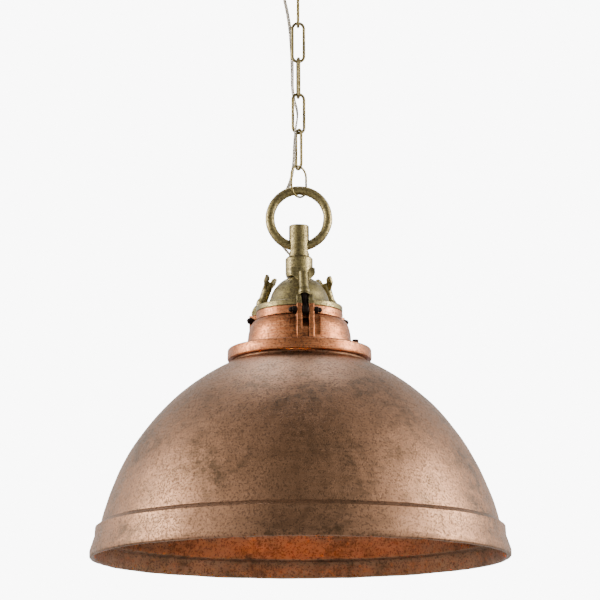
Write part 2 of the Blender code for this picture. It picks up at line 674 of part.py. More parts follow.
def build_swing_bolt(side, lean, material):
    """An eye round the pin with a round shank along Z."""
    shank_start = EYE_RADIUS * 0.75
    bolt = turn_rod(
        f"swing_bolt_{side}",
        [
            (0.0, shank_start), (BOLT_RADIUS, shank_start), (BOLT_RADIUS, BOLT_LENGTH - 0.001),
            (BOLT_RADIUS - 0.001, BOLT_LENGTH), (0.0, BOLT_LENGTH),
        ],
        material, lean, 12,
    )
    bm = bmesh.new()
    bmesh.ops.create_cone(
        bm, cap_ends=True, segments=16, radius1=EYE_RADIUS, radius2=EYE_RADIUS, depth=EYE_WIDTH
    )
    bmesh.ops.rotate(bm, cent=(0, 0, 0), matrix=Matrix.Rotation(math.pi / 2, 3, "Y"), verts=bm.verts)
    combine(bolt, finish_mesh(f"join_eye_{side}", bm, None, lean), "UNION")
    drill_pin_hole(bolt, f"cut_eye_{side}", lean)


def build_wing_nut(side, lean, material):
    """A tall tapered barrel with a blind bore and two wings across its top."""
    bore = BOLT_RADIUS + GAP
    profile = [(bore, NUT_BOTTOM), (NUT_RADIUS, NUT_BOTTOM), (NUT_RADIUS, NUT_BOTTOM + 0.004)]
    profile += [(NUT_TOP_RADIUS, NUT_BOTTOM + 0.008), (NUT_TOP_RADIUS, NUT_TOP - 0.0008)]
    profile += [(NUT_TOP_RADIUS - 0.0008, NUT_TOP), (0.0, NUT_TOP), (0.0, BOLT_LENGTH + 0.002)]
    profile += [(bore, BOLT_LENGTH + 0.002), (bore, NUT_BOTTOM)]
    nut = turn_rod(f"wing_nut_{side}", profile, material, lean, 16)
    half = WING_SPAN / 2
    inner_top = NUT_TOP - 0.0012
    outline = [(WING_ROOT_RADIUS, WING_ROOT_BOTTOM), (NUT_TOP_RADIUS, WING_ROOT_BOTTOM + 0.0005)]
    outline += [(half - 0.0030, WING_ROOT_BOTTOM + 0.0065), (half, WING_ROOT_BOTTOM + 0.0100)]
    outline += [(half, WING_TOP - 0.0025), (half - 0.0025, WING_TOP)]
    outline += [(NUT_TOP_RADIUS + 0.0020, WING_TOP - 0.0010), (NUT_TOP_RADIUS - 0.0010, inner_top)]
    outline += [(WING_ROOT_RADIUS, inner_top)]
    for hand, hand_name in ((-1, "left"), (1, "right")):
        wing = extrude_outline(f"join_wing_{side}_{hand_name}", outline, WING_THICKNESS, lean)
        wing.rotation_euler.z = -hand * math.pi / 2
        combine(nut, wing, "UNION")


def cross_hole_radius(across):
    """The cross hole widens from its middle, so the curved ring clears it at any tilt."""
    inner = RING_RADIUS - RING_WIRE
    return RING_RADIUS - math.sqrt(inner**2 - across**2) + 3 * GAP


def build_stem(materials, lamp):
    """The shank that the ring runs through, screwed into the top of the dome."""
    chamfer = 0.0022
    tail = STEM_TAIL_RADIUS
    profile = [(0.0, STEM_TAIL), (tail, STEM_TAIL), (tail, STEM_COLLAR_BOTTOM)]
    profile += [(STEM_COLLAR_RADIUS, STEM_COLLAR_BOTTOM)]
    profile += [(STEM_COLLAR_RADIUS, STEM_COLLAR_TOP - chamfer)]
    profile += [(STEM_COLLAR_RADIUS - chamfer, STEM_COLLAR_TOP), (STEM_RADIUS, STEM_COLLAR_TOP)]
    profile += [(STEM_RADIUS, STEM_TOP - 0.0015), (STEM_RADIUS - 0.0015, STEM_TOP), (0.0, STEM_TOP)]
    stem = turn_rod("stem", profile, materials["brass"], lamp, 24)
    bm = bmesh.new()
    reach = STEM_RADIUS + 0.002
    steps = 4
    outline = [(0.0, -reach)]
    outline += [(cross_hole_radius(reach * i / steps), reach * i / steps) for i in range(-steps, steps + 1)]
    outline.append((0.0, reach))
    verts = [bm.verts.new((r, 0.0, z)) for r, z in outline]
    edges = [bm.edges.new((verts[i], verts[i + 1])) for i in range(len(verts) - 1)]
    bmesh.ops.spin(
        bm, geom=verts + edges, axis=(0, 0, 1), cent=(0, 0, 0),
        angle=math.tau, steps=16, use_merge=True,
    )
    bmesh.ops.rotate(bm, cent=(0, 0, 0), matrix=Matrix.Rotation(math.pi / 2, 3, "Y"), verts=bm.verts)
    bmesh.ops.translate(bm, vec=(0, 0, LAMP_PIVOT - GAP), verts=bm.verts)
    cutter = finish_mesh("cut_cross_hole", bm, None, lamp)
    cutter.location = stem.location
    combine(stem, cutter, "DIFFERENCE")
    low, high = (0, 0, STEM_TAIL - 0.002), (0, 0, HOLDER_NIPPLE_TOP + 0.001)
    drill(stem, "cut_stem_thread", NIPPLE_RADIUS + GAP, low, high)


def build_holder(materials, lamp):
    """Locknut, nipple, porcelain holder, its screw shell and its contact."""
    corner = LOCKNUT_ACROSS / math.sqrt(3)
    nut_top = DOME_CENTRE + math.sqrt((DOME_RADIUS - DOME_WALL) ** 2 - corner**2) - 2 * GAP
    nut_bottom = nut_top - LOCKNUT_HEIGHT
    hexagon_nut(
        "stem_locknut", LOCKNUT_ACROSS, nut_bottom, nut_top, DOME_HOLE, materials["steel"], lamp
    )
    thread_floor = HOLDER_TOP - HOLDER_THREAD
    pipe_bottom = thread_floor + 0.0005
    pipe = [(NIPPLE_BORE, pipe_bottom), (NIPPLE_RADIUS, pipe_bottom)]
    pipe += [(NIPPLE_RADIUS, HOLDER_NIPPLE_TOP), (NIPPLE_BORE, HOLDER_NIPPLE_TOP)]
    turn_profile("holder_nipple", pipe, materials["steel"], lamp, 12)
    body = [(SOCKET_RADIUS, HOLDER_BOTTOM), (HOLDER_RADIUS, HOLDER_BOTTOM)]
    body += [(HOLDER_RADIUS, HOLDER_TOP - 0.010), (0.0120, HOLDER_TOP)]
    body += [(NIPPLE_RADIUS + GAP, HOLDER_TOP), (NIPPLE_RADIUS + GAP, thread_floor)]
    body += [(0.0, thread_floor), (0.0, SOCKET_ROOF), (SOCKET_RADIUS, SOCKET_ROOF)]
    body += [(SOCKET_RADIUS, HOLDER_BOTTOM)]
    turn_rod("lamp_holder", body, materials["porcelain"], lamp, 24)
    inner = LAMP_CAP_RADIUS + GAP
    shell = [(inner, SHELL_BOTTOM), (SHELL_RADIUS, SHELL_BOTTOM)]
    shell += [(SHELL_RADIUS, SHELL_TOP), (inner, SHELL_TOP)]
    turn_profile("screw_shell", shell, materials["nickel"], lamp, 24)
    tip = SOCKET_ROOF - 0.0060
    contact = [(0.0, tip), (0.0030, tip), (0.0042, tip + 0.0010), (0.0042, SOCKET_ROOF - GAP)]
    contact += [(0.0, SOCKET_ROOF - GAP)]
    turn_rod("centre_contact", contact, materials["nickel"], lamp, 12)


def globe_line(radius, neck):
    """The lamp's glass from its neck down to the bottom of its globe."""
    line = [(neck, 0.2915), (neck, 0.2830), (neck + 0.0035, 0.2700)]
    return line + arc(0.0, GLOBE_CENTRE, radius, 35.0, -90.0, 7)


def build_lamp_bulb(materials, lamp):
    """The lamp: a thin glass globe, its screw cap and its insulated contact."""
    outer = globe_line(GLOBE_RADIUS, LAMP_NECK_RADIUS)
    inner = globe_line(GLOBE_RADIUS - GLASS_WALL, LAMP_NECK_RADIUS - GLASS_WALL)
    glass = outer + list(reversed(inner)) + [outer[0]]
    turn_rod("lamp_glass", glass, materials["glass"], lamp, 16)
    cap = [(0.0, LAMP_CAP_BOTTOM), (LAMP_CAP_RADIUS, LAMP_CAP_BOTTOM)]
    cap += [(LAMP_CAP_RADIUS, LAMP_CAP_TOP - 0.003), (0.0090, LAMP_CAP_TOP), (0.0, LAMP_CAP_TOP)]
    turn_rod("lamp_cap", cap, materials["nickel"], lamp, 24)
    base = LAMP_CAP_TOP + GAP
    tip = [(0.0, base), (0.0080, base), (0.0045, base + 0.0027)]
    tip += [(0.0030, base + 0.0039), (0.0, base + 0.0039)]
    turn_rod("lamp_contact", tip, materials["plastic"], lamp, 12)


def build_gland(materials, lamp):
    """The bush where the cord enters the back of the dome, about the leaning exit axis."""
    bore = CORD_RADIUS + GAP
    seat = DOME_RADIUS + GAP
    profile = [(bore, seat - GLAND_TAIL), (GLAND_RADIUS, seat - GLAND_TAIL), (GLAND_RADIUS, seat)]
    profile += [(GLAND_FLANGE, seat), (GLAND_FLANGE, seat + 0.0035)]
    profile += [(CORD_RADIUS + 0.0018, seat + GLAND_NOSE), (bore, seat + GLAND_NOSE)]
    gland = turn_profile("cord_gland", profile, materials["plastic"], lamp, 16)
    gland.location = (0, 0, DOME_CENTRE - LAMP_PIVOT)
    gland.rotation_euler.x = -CORD_EXIT_LEAN


def build_ring(materials):
    """The suspension ring, its origin on the wire of the oval link that holds it."""
    bm = bmesh.new()
    bmesh.ops.create_circle(bm, cap_ends=False, radius=RING_WIRE, segments=10)
    bmesh.ops.translate(bm, vec=(RING_RADIUS, 0, 0), verts=bm.verts)
    bmesh.ops.spin(
        bm, geom=list(bm.verts) + list(bm.edges), axis=(0, 1, 0), cent=(0, 0, 0),
        angle=math.tau, steps=32, use_merge=True,
    )
    bmesh.ops.translate(bm, vec=(0, 0, RING_CENTRE - RING_PIVOT), verts=bm.verts)
    ring = finish_mesh("suspension_ring", bm, materials["brass"])
    ring.location.z = down(RING_PIVOT)


def build_chain(materials):
    """The thin oval link on the ring and the five long links above it."""
    rise = OVAL_WIRE + GAP + LINK_WIRE
    oval = wire_loop(
        "oval_link", OVAL_LENGTH, OVAL_WIDTH, OVAL_WIRE, OVAL_TURN, rise, materials["brass"], 8
    )
    oval.location.z = down(OVAL_TOP - rise)
    for number, turn in enumerate(LINK_TURNS, 1):
        held_by = LOOP_WIRE if number == 1 else LINK_WIRE
        rise = LINK_WIRE + GAP + held_by
        name = f"chain_link_{number}"
        link = wire_loop(name, LINK_LENGTH, LINK_WIDTH, LINK_WIRE, turn, rise, materials["brass"])
        link.location.z = down(CHAIN_TOP - (number - 1) * LINK_STEP - rise)


def build_canopy(materials):
    """Strap, its nut, nipple, dish, screw collar, loop, terminal block and grommet."""
    length, width, thick = STRAP_SIZE
    low, high = (-length / 2, -width / 2, -thick), (length / 2, width / 2, 0.0)
    strap = add_box("ceiling_strap", low, high, materials["steel"])
    half_long, half_wide = STRAP_SLOT[0] / 2, STRAP_SLOT[1] / 2
    for number, side in enumerate((-1, 1), 1):
        x = side * STRAP_SLOT_PITCH / 2
        low = (x - half_long, -half_wide, -thick - 0.002)
        high = (x + half_long, half_wide, 0.002)
        combine(strap, add_box(f"cut_strap_slot_{number}", low, high), "DIFFERENCE")
    nut_top = -thick - GAP
    nut_bottom = nut_top - STRAP_NUT_HEIGHT
    nut_bore = NIPPLE_RADIUS + GAP
    hexagon_nut("strap_nut", STRAP_NUT_ACROSS, nut_bottom, nut_top, nut_bore, materials["steel"])
    nipple_top = nut_top - 0.0005
    pipe = [(NIPPLE_BORE, down(NIPPLE_BOTTOM)), (NIPPLE_RADIUS, down(NIPPLE_BOTTOM))]
    pipe += [(NIPPLE_RADIUS, nipple_top), (NIPPLE_BORE, nipple_top)]
    turn_profile("canopy_nipple", pipe, materials["steel"], None, 12)
    floor = down(CANOPY_FLOOR)
    build_dish(materials, floor)
    build_grommet(materials, floor)
    hole = BARREL_RADIUS + GAP
    foot = floor - CANOPY_COLLAR_HEIGHT
    collar = [(hole, floor - GAP), (hole, foot), (CANOPY_COLLAR_RADIUS - 0.003, foot)]
    collar += [(CANOPY_COLLAR_RADIUS, foot + 0.0020), (CANOPY_COLLAR_RADIUS, floor - GAP)]
    turn_profile("canopy_collar", collar, materials["brass"], None, 24)
    build_canopy_loop(materials, floor)
    x = CORD_ROUTE[0][0]
    half_x, half_y = BLOCK_HALF
    low, high = (x - half_x, -half_y, down(BLOCK_BOTTOM)), (x + half_x, half_y, nut_top)
    add_box("terminal_block", low, high, materials["plastic"])


def build_dish(materials, floor):
    """The canopy's dish: a flat floor that flares up to the ceiling in a quarter round."""
    reach = CANOPY_RADIUS - CANOPY_FLAT
    flare = [(CANOPY_FLAT, floor)]
    for angle in (25, 45, 65, 80):
        a = math.radians(angle)
        flare.append((CANOPY_FLAT + reach * math.sin(a) - 0.0001, floor * math.cos(a)))
    flare += [(CANOPY_RADIUS, 0.0)]
    hole = BARREL_RADIUS + GAP
    dish = [(hole, floor)] + flare + list(reversed(inset_line(flare, CANOPY_WALL)))
    dish[-len(flare)] = (CANOPY_RADIUS - CANOPY_WALL, 0.0)
    dish += [(hole, floor + CANOPY_WALL)]
    canopy = turn_profile("canopy", dish, materials["brass"], None, 32)
    x, y, _ = CORD_ROUTE[0]
    drill(canopy, "cut_canopy_cord", GROMMET_RADIUS + GAP, (x, y, floor - 0.003), (x, y, floor + 0.006))


def build_grommet(materials, floor):
    """The bush that lines the cord's hole in the canopy."""
    bore = CORD_RADIUS + GAP
    bush = [(bore, floor - 0.0025), (GROMMET_FLANGE, floor - 0.0020), (GROMMET_FLANGE, floor - GAP)]
    bush += [(GROMMET_RADIUS, floor - GAP), (GROMMET_RADIUS, floor + 0.0035), (bore, floor + 0.0035)]
    grommet = turn_profile("canopy_grommet", bush, materials["plastic"], None, 16)
    grommet.location = (CORD_ROUTE[0][0], CORD_ROUTE[0][1], 0.0)


def build_canopy_loop(materials, floor):
    """The loop that the top link hangs from, with its threaded barrel."""
    bore = NIPPLE_RADIUS + GAP
    middle = down(LOOP_BOTTOM) + LOOP_RADIUS
    barrel = [(0.0, middle + LOOP_RADIUS - 0.0020), (0.0075, middle + LOOP_RADIUS - 0.0010)]
    barrel += [(BARREL_RADIUS, middle + LOOP_RADIUS + 0.0020), (BARREL_RADIUS, floor + 0.0080)]
    barrel += [(bore, floor + 0.0080), (bore, floor + 0.0020), (0.0, floor + 0.0020)]
    loop = turn_rod("canopy_loop", barrel, materials["brass"], None, 16)
    bm = bmesh.new()
    bmesh.ops.create_circle(bm, cap_ends=False, radius=LOOP_WIRE, segments=8)
    bmesh.ops.translate(bm, vec=(LOOP_RADIUS, 0, 0), verts=bm.verts)
    bmesh.ops.spin(
        bm, geom=list(bm.verts) + list(bm.edges), axis=(0, 1, 0), cent=(0, 0, 0),
        angle=math.tau, steps=18, use_merge=True,
    )
    bmesh.ops.translate(bm, vec=(0, 0, middle), verts=bm.verts)
    combine(loop, finish_mesh("join_loop", bm, None), "UNION")


def smooth_route(points, steps):
    """Points along a Catmull-Rom curve through the route's own points."""
    route = []
    for i in range(len(points) - 1):
        p0 = Vector(points[max(i - 1, 0)])
        p1, p2 = Vector(points[i]), Vector(points[i + 1])
        p3 = Vector(points[min(i + 2, len(points) - 1)])
        for step in range(steps):
            t = step / steps
            curved = (2 * p1 + (p2 - p0) * t + (2 * p0 - 5 * p1 + 4 * p2 - p3) * t**2
                      + (3 * p1 - p0 - 3 * p2 + p3) * t**3) / 2
            route.append(curved)
    route.append(Vector(points[-1]))
    return route


def build_cord(materials):
    """The supply cord, one tube from the terminal block to the lamp holder."""
    curve = bpy.data.curves.new("supply_cord", "CURVE")
    curve.dimensions = "3D"
    curve.bevel_depth = CORD_RADIUS
    curve.bevel_resolution = 2
    curve.use_fill_caps = True
    route = smooth_route([(x, y, down(h)) for x, y, h in CORD_ROUTE], CORD_STEPS)
    spline = curve.splines.new("POLY")
    spline.points.add(len(route) - 1)
    for point, place in zip(spline.points, route):
        point.co = (*place, 1.0)
    add_object("supply_cord", curve, materials["clear"])


def main():
    """Build every piece; the lamp's own pieces hang from an empty on its pivot."""
    clear_scene()
    materials = make_materials()
    lamp = add_empty("lamp_pivot", (0, 0, down(LAMP_PIVOT)))
    body = add_empty("lamp_body", (0, 0, -LAMP_PIVOT), lamp)
    frames = {side: latch_frame(f"latch_{side}", a, lamp) for side, a in LATCH_AZIMUTHS.items()}
    build_shade(materials, body)
    build_collar(materials, body)
    build_screws(materials, lamp)
    build_neck(materials, body, frames)
    build_cap(materials, body, frames)
    for side, frame in frames.items():
        build_latch(side, frame, materials)
    build_stem(materials, body)
    build_holder(materials, body)
    build_lamp_bulb(materials, body)
    build_gland(materials, lamp)
    build_ring(materials)
    build_chain(materials)
    build_canopy(materials)
    build_cord(materials)


main()
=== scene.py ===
"""Looks of a nautical dome pendant: cast copper shade, clamped neck, brass cap, ring and chain.

Metres, +Z up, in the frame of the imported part. Heights are measured up from the plane of the
shade's rim, azimuths in degrees from the front (-Y) towards +X.
"""

import json
import logging
import math
from collections.abc import Callable, Iterable, Sequence
from dataclasses import dataclass, field
from enum import Enum

import bmesh
import bpy
from mathutils import Matrix, Vector, noise


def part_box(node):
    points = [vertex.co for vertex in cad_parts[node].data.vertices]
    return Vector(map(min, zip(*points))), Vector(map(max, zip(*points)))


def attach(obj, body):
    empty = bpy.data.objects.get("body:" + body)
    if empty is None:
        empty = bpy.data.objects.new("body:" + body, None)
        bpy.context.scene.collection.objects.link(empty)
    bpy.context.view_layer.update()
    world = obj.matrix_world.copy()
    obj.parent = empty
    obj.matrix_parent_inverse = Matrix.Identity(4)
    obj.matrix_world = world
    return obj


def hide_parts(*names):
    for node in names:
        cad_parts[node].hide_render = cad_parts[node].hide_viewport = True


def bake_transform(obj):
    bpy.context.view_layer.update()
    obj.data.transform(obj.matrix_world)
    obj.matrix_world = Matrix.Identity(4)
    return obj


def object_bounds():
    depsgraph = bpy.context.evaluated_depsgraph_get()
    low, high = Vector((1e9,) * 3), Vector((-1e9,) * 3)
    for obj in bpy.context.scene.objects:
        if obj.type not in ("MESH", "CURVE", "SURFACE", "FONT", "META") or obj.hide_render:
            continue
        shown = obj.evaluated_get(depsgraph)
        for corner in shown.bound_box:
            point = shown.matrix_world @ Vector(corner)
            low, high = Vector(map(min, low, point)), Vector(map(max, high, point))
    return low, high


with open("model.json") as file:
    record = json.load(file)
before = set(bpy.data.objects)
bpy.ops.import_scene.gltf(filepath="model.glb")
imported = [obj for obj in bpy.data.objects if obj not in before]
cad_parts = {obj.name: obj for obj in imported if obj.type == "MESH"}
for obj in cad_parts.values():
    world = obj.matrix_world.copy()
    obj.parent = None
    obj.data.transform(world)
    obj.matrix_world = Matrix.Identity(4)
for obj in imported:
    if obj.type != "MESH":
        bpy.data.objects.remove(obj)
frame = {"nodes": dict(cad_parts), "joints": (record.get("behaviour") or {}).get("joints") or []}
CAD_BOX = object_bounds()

LOG = logging.getLogger("pendant")
RIM_PLANE = CAD_BOX[0].z
CHEEK_GAP = 0.0003
RING_CENTRE, RING_RADIUS, RING_WIRE = 0.4435, 0.0377, 0.0060
DOME_CENTRE, DOME_RADIUS = 0.3280, 0.0384

Point = tuple[float, float]
Corner = tuple[float, float, float]
Mesh = bmesh.types.BMesh
Edge = bmesh.types.BMEdge
Object = bpy.types.Object
Material = bpy.types.Material
Tree = bpy.types.NodeTree
Node = bpy.types.Node
Socket = bpy.types.NodeSocket


class Finish(Enum):
    """Every finish on the lamp, by the record's material slot."""

    SHADE_COPPER = "antique_copper"
    NECK_COPPER = "rubbed_copper"
    BRASS = "antique_brass"
    IRON = "black_iron"
    STEEL = "zinc_steel"
    NICKEL = "nickel_brass"
    PORCELAIN = "porcelain"
    GLASS = "frosted_glass"
    PLASTIC = "black_plastic"
    VINYL = "clear_vinyl"


class Side(Enum):
    """The three latches, by the azimuth each one stands at."""

    FRONT = 7.0
    RIGHT = 127.0
    LEFT = 247.0

    @property
    def label(self) -> str:
        """The side's name as the part's nodes spell it."""
        return self.name.lower()


# --- Materials ---------------------------------------------------------------------------------

SMOOTH = {"interpolation_type": "SMOOTHSTEP"}
COLOUR = {"data_type": "RGBA"}
TIMES = {"operation": "MULTIPLY"}
LARGER = {"operation": "MAXIMUM"}


def linear(code: str) -> tuple[float, float, float, float]:
    """Turn an sRGB hex colour to linear RGBA.

    Args:
        code: six hex digits.

    Returns:
        The linear colour with an alpha of 1.
    """
    channels = [int(code[i : i + 2], 16) / 255 for i in (0, 2, 4)]
    light = [c / 12.92 if c <= 0.04045 else ((c + 0.055) / 1.055) ** 2.4 for c in channels]
    return (light[0], light[1], light[2], 1.0)


def feed(node: Node, inputs: dict[str | int, object]) -> None:
    """Set or link a node's inputs.

    Args:
        node: the node.
        inputs: for each input's name or number a value, a socket, or a node whose first output
            is read.
    """
    for key, value in inputs.items():
        source = value.outputs[0] if isinstance(value, Node) else value
        if isinstance(source, Socket):
            node.id_data.links.new(source, node.inputs[key])
        else:
            node.inputs[key].default_value = source


def add_node(
    tree: Tree,
    kind: str,
    settings: dict[str, object] | None = None,
    inputs: dict[str | int, object] | None = None,
) -> Node:
    """Add a node with its settings and links.

    Args:
        tree: the node tree that gets the node.
        kind: the node's type name without its ShaderNode prefix.
        settings: property values by name.
        inputs: what feed takes.

    Returns:
        The new node.
    """
    node = tree.nodes.new("ShaderNode" + kind)
    for key, value in (settings or {}).items():
        setattr(node, key, value)
    feed(node, inputs or {})
    return node


def start_material(name: str, constants: dict[str, object]) -> tuple[Material, Node]:
    """Make a material with a Principled shader whose constants sit on its own sockets.

    Args:
        name: the material's name.
        constants: values for the shader's inputs.

    Returns:
        The material and its shader node.
    """
    material = bpy.data.materials.new(name)
    material.use_nodes = True
    shader = material.node_tree.nodes["Principled BSDF"]
    feed(shader, constants)
    return material, shader


def grain(
    tree: Tree, size_mm: float, stretch: Sequence[float] = (1, 1, 1), detail: float = 4.0
) -> Node:
    """Noise whose features are about a given size, read on Object coordinates.

    Args:
        tree: the node tree.
        size_mm: the size of a feature in millimetres.
        stretch: how much finer the pattern is along each axis.
        detail: how many octaves of finer noise ride on it.

    Returns:
        The noise node.
    """
    where = add_node(tree, "TexCoord").outputs["Object"]
    placed = add_node(tree, "Mapping", None, {"Vector": where, "Scale": tuple(stretch)})
    inputs = {"Vector": placed, "Scale": 1000 / size_mm, "Detail": detail, "Roughness": 0.6}
    return add_node(tree, "TexNoise", None, inputs)


def stain(
    tree: Tree,
    size_mm: float,
    low: float,
    high: float,
    top: float = 1.0,
    stretch: Sequence[float] = (1, 1, 1),
) -> Node:
    """Soft patches of a given size: the noise, stretched from 0 at low to top at high."""
    return add_node(
        tree, "MapRange", SMOOTH, {0: grain(tree, size_mm, stretch), 1: low, 2: high, 4: top}
    )


def worn_edges(tree: Tree, radius_mm: float, full: float, top: float) -> Node:
    """Where an edge is near, found as the angle between the surface and its rounded self.

    Args:
        tree: the node tree.
        radius_mm: how far the wear reaches from an edge.
        full: the cosine of the angle at which the wear is complete.
        top: the largest result.

    Returns:
        The node that holds the wear.
    """
    soft = add_node(tree, "Bevel", {"samples": 4}, {"Radius": radius_mm / 1000})
    plain = add_node(tree, "NewGeometry").outputs["Normal"]
    match = add_node(tree, "VectorMath", {"operation": "DOT_PRODUCT"}, {0: soft, 1: plain})
    return add_node(
        tree, "MapRange", SMOOTH, {0: match.outputs["Value"], 1: 0.99, 2: full, 4: top}
    )


@dataclass(frozen=True)
class CastMetal:
    """Sand-cast metal, darkened all over and then rubbed back by hand.

    The sand leaves pits and a fine grain, so highlights break up; the dark stays in the pits, the
    hollows are darkened by ambient occlusion, partly as dark finish left there and partly as
    painted shade, and the rubbing brings the bare tone out in patches and along every edge.
    """

    name: str
    deep: str
    body: str
    rubbed: str
    roughness: tuple[float, float] = (0.34, 0.50)
    patch_mm: float = 70.0
    # Real moulding sand is 0.3 mm; it is drawn coarser so that it shows at this distance.
    sand_mm: float = 2.7
    sand_depth_mm: float = 0.45
    speckle: float = 0.8
    pit_mm: float = 7.0
    crackle: float = 0.0
    crackle_mm: float = 26.0
    edge_mm: float = 0.5
    # Reach of the ambient-occlusion darkening in closed-in corners: dark finish left in hollows,
    # and painted shade.
    hollow_patina_and_shade_mm: float = 7.0
    pitting: str = "3f3226"
    # Tone of that darkening in closed-in corners: dark finish left in hollows, and painted shade.
    hollow_patina_and_shade_tone: str = "2e231a"
    streak: float = 0.35

    def make(self) -> Material:
        """Build the node tree and return the material."""
        material, shader = start_material(self.name, {"Metallic": 1.0})
        tree = material.node_tree
        mottle = stain(tree, self.patch_mm / 6, 0.36, 0.66, 0.85)
        sand = grain(tree, self.sand_mm, detail=3.0)
        dirt = self.dirt(tree, sand)
        layers = (
            (stain(tree, self.patch_mm, 0.26, 0.62, stretch=(1, 1, 1.4)), self.body),
            (mottle, self.body),
            # Rubbing runs round the piece, so its streaks lie level.
            (stain(tree, self.patch_mm / 2, 0.38, 0.70, self.streak, (1, 1, 14)), self.rubbed),
            (add_node(tree, "Math", TIMES, {0: dirt, 1: 0.72}), self.pitting),
            (worn_edges(tree, self.edge_mm, 0.86, 0.85), self.rubbed),
            # Closed-in corners darkened by ambient occlusion: dark finish left in hollows, and
            # painted shade.
            (self.hollow_patina_and_shade(tree), self.hollow_patina_and_shade_tone),
        )
        tone = linear(self.deep)
        for amount, colour in layers:
            mix = add_node(tree, "Mix", COLOUR, {0: amount, 6: tone, 7: linear(colour)})
            tone = mix.outputs[2]
        wear = add_node(tree, "Math", TIMES, {0: mottle, 1: 0.7})
        wear = add_node(tree, "Math", {"operation": "ADD"}, {0: wear, 1: dirt})
        low, high = self.roughness
        rough = add_node(tree, "MapRange", None, {0: wear, 3: low, 4: high})
        relief = self.relief(tree, sand, dirt)
        feed(shader, {"Base Color": tone, "Roughness": rough, "Normal": relief})
        return material

    def dirt(self, tree: Tree, sand: Node) -> Node:
        """Where the dark is left: in pits, between grains of sand and in cracks."""
        where = add_node(tree, "TexCoord").outputs["Object"]
        field = add_node(tree, "TexVoronoi", None, {"Vector": where, "Scale": 1000 / self.pit_mm})
        holes = add_node(tree, "MapRange", SMOOTH, {0: field, 1: 0.24, 2: 0.06})
        area = stain(tree, self.patch_mm / 1.6, 0.47, 0.60)
        pits = add_node(tree, "Math", TIMES, {0: holes, 1: area})
        grains = add_node(tree, "MapRange", SMOOTH, {0: sand, 1: 0.50, 2: 0.60, 4: self.speckle})
        found = add_node(tree, "Math", LARGER, {0: pits, 1: grains})
        if self.crackle:
            found = add_node(tree, "Math", LARGER, {0: found, 1: self.cracks(tree)})
        return found

    def cracks(self, tree: Tree) -> Node:
        """Short shrinkage cracks that run mostly up and down, in patches."""
        where = add_node(tree, "TexCoord").outputs["Object"]
        wander = {0: (0.012, 0.012, 0.012), 1: grain(tree, 9.0), 2: where}
        shifted = add_node(tree, "VectorMath", {"operation": "MULTIPLY_ADD"}, wander)
        placed = add_node(tree, "Mapping", None, {"Vector": shifted, "Scale": (1, 1, 0.45)})
        cells = add_node(
            tree,
            "TexVoronoi",
            {"feature": "DISTANCE_TO_EDGE"},
            {"Vector": placed, "Scale": 1000 / self.crackle_mm},
        )
        lines = add_node(tree, "MapRange", SMOOTH, {0: cells, 1: 0.035, 2: 0.0})
        area = stain(tree, 45.0, 0.50, 0.60, self.crackle)
        return add_node(tree, "Math", TIMES, {0: lines, 1: area})

    def hollow_patina_and_shade(self, tree: Tree) -> Node:
        """Darken corners closed in on themselves by ambient occlusion: dark finish never rubbed
        out, and painted shade.
        """
        settings = {"samples": 6, "only_local": True}
        shelter = add_node(
            tree, "AmbientOcclusion", settings, {"Distance": self.hollow_patina_and_shade_mm / 1000}
        ).outputs["AO"]
        return add_node(tree, "MapRange", SMOOTH, {0: shelter, 1: 0.80, 2: 0.45, 4: 0.85})

    def relief(self, tree: Tree, sand: Node, dirt: Node) -> Node:
        """Hand-finished waviness, then sand grain, then pits, each as its own bump."""
        bump = None
        for height, depth_mm, strength, invert in (
            (grain(tree, 34.0), 0.9, 0.5, False),
            (sand, self.sand_depth_mm, 1.0, False),
            (dirt, 0.4, 0.45, True),
        ):
            inputs = {"Distance": depth_mm / 1000, "Strength": strength, "Height": height}
            if bump:
                inputs["Normal"] = bump
            bump = add_node(tree, "Bump", {"invert": invert}, inputs)
        return bump


@dataclass(frozen=True)
class Skin:
    """An even finish: two tones in a faint mottle, one fine texture, and edges that may wear."""

    name: str
    constants: dict[str, object]
    mottle_mm: float
    texture_mm: float
    depth_mm: float
    tones: tuple[str, str] | None = None
    varied: tuple[str, float, float] | None = None
    strength: float = 0.6
    stretch: tuple[float, float, float] = (1, 1, 1)
    detail: float = 4.0
    edge_mm: float = 0.0

    def make(self) -> Material:
        """Build the node tree and return the material."""
        material, shader = start_material(self.name, self.constants)
        tree = material.node_tree
        cloud = grain(tree, self.mottle_mm)
        mottle = add_node(tree, "MapRange", SMOOTH, {0: cloud, 1: 0.35, 2: 0.70})
        if self.tones:
            amount = mottle
            if self.edge_mm:
                faint = add_node(tree, "Math", TIMES, {0: mottle, 1: 0.25})
                edges = worn_edges(tree, self.edge_mm, 0.80, 0.8)
                amount = add_node(tree, "Math", LARGER, {0: edges, 1: faint})
            first, second = (linear(tone) for tone in self.tones)
            mix = add_node(tree, "Mix", COLOUR, {0: amount, 6: first, 7: second})
            feed(shader, {"Base Color": mix.outputs[2]})
        if self.varied:
            target, low, high = self.varied
            source = mottle if self.tones else cloud
            feed(shader, {target: add_node(tree, "MapRange", None, {0: source, 3: low, 4: high})})
        texture = grain(tree, self.texture_mm, self.stretch, self.detail)
        inputs = {"Distance": self.depth_mm / 1000, "Strength": self.strength, "Height": texture}
        feed(shader, {"Normal": add_node(tree, "Bump", None, inputs)})
        return material


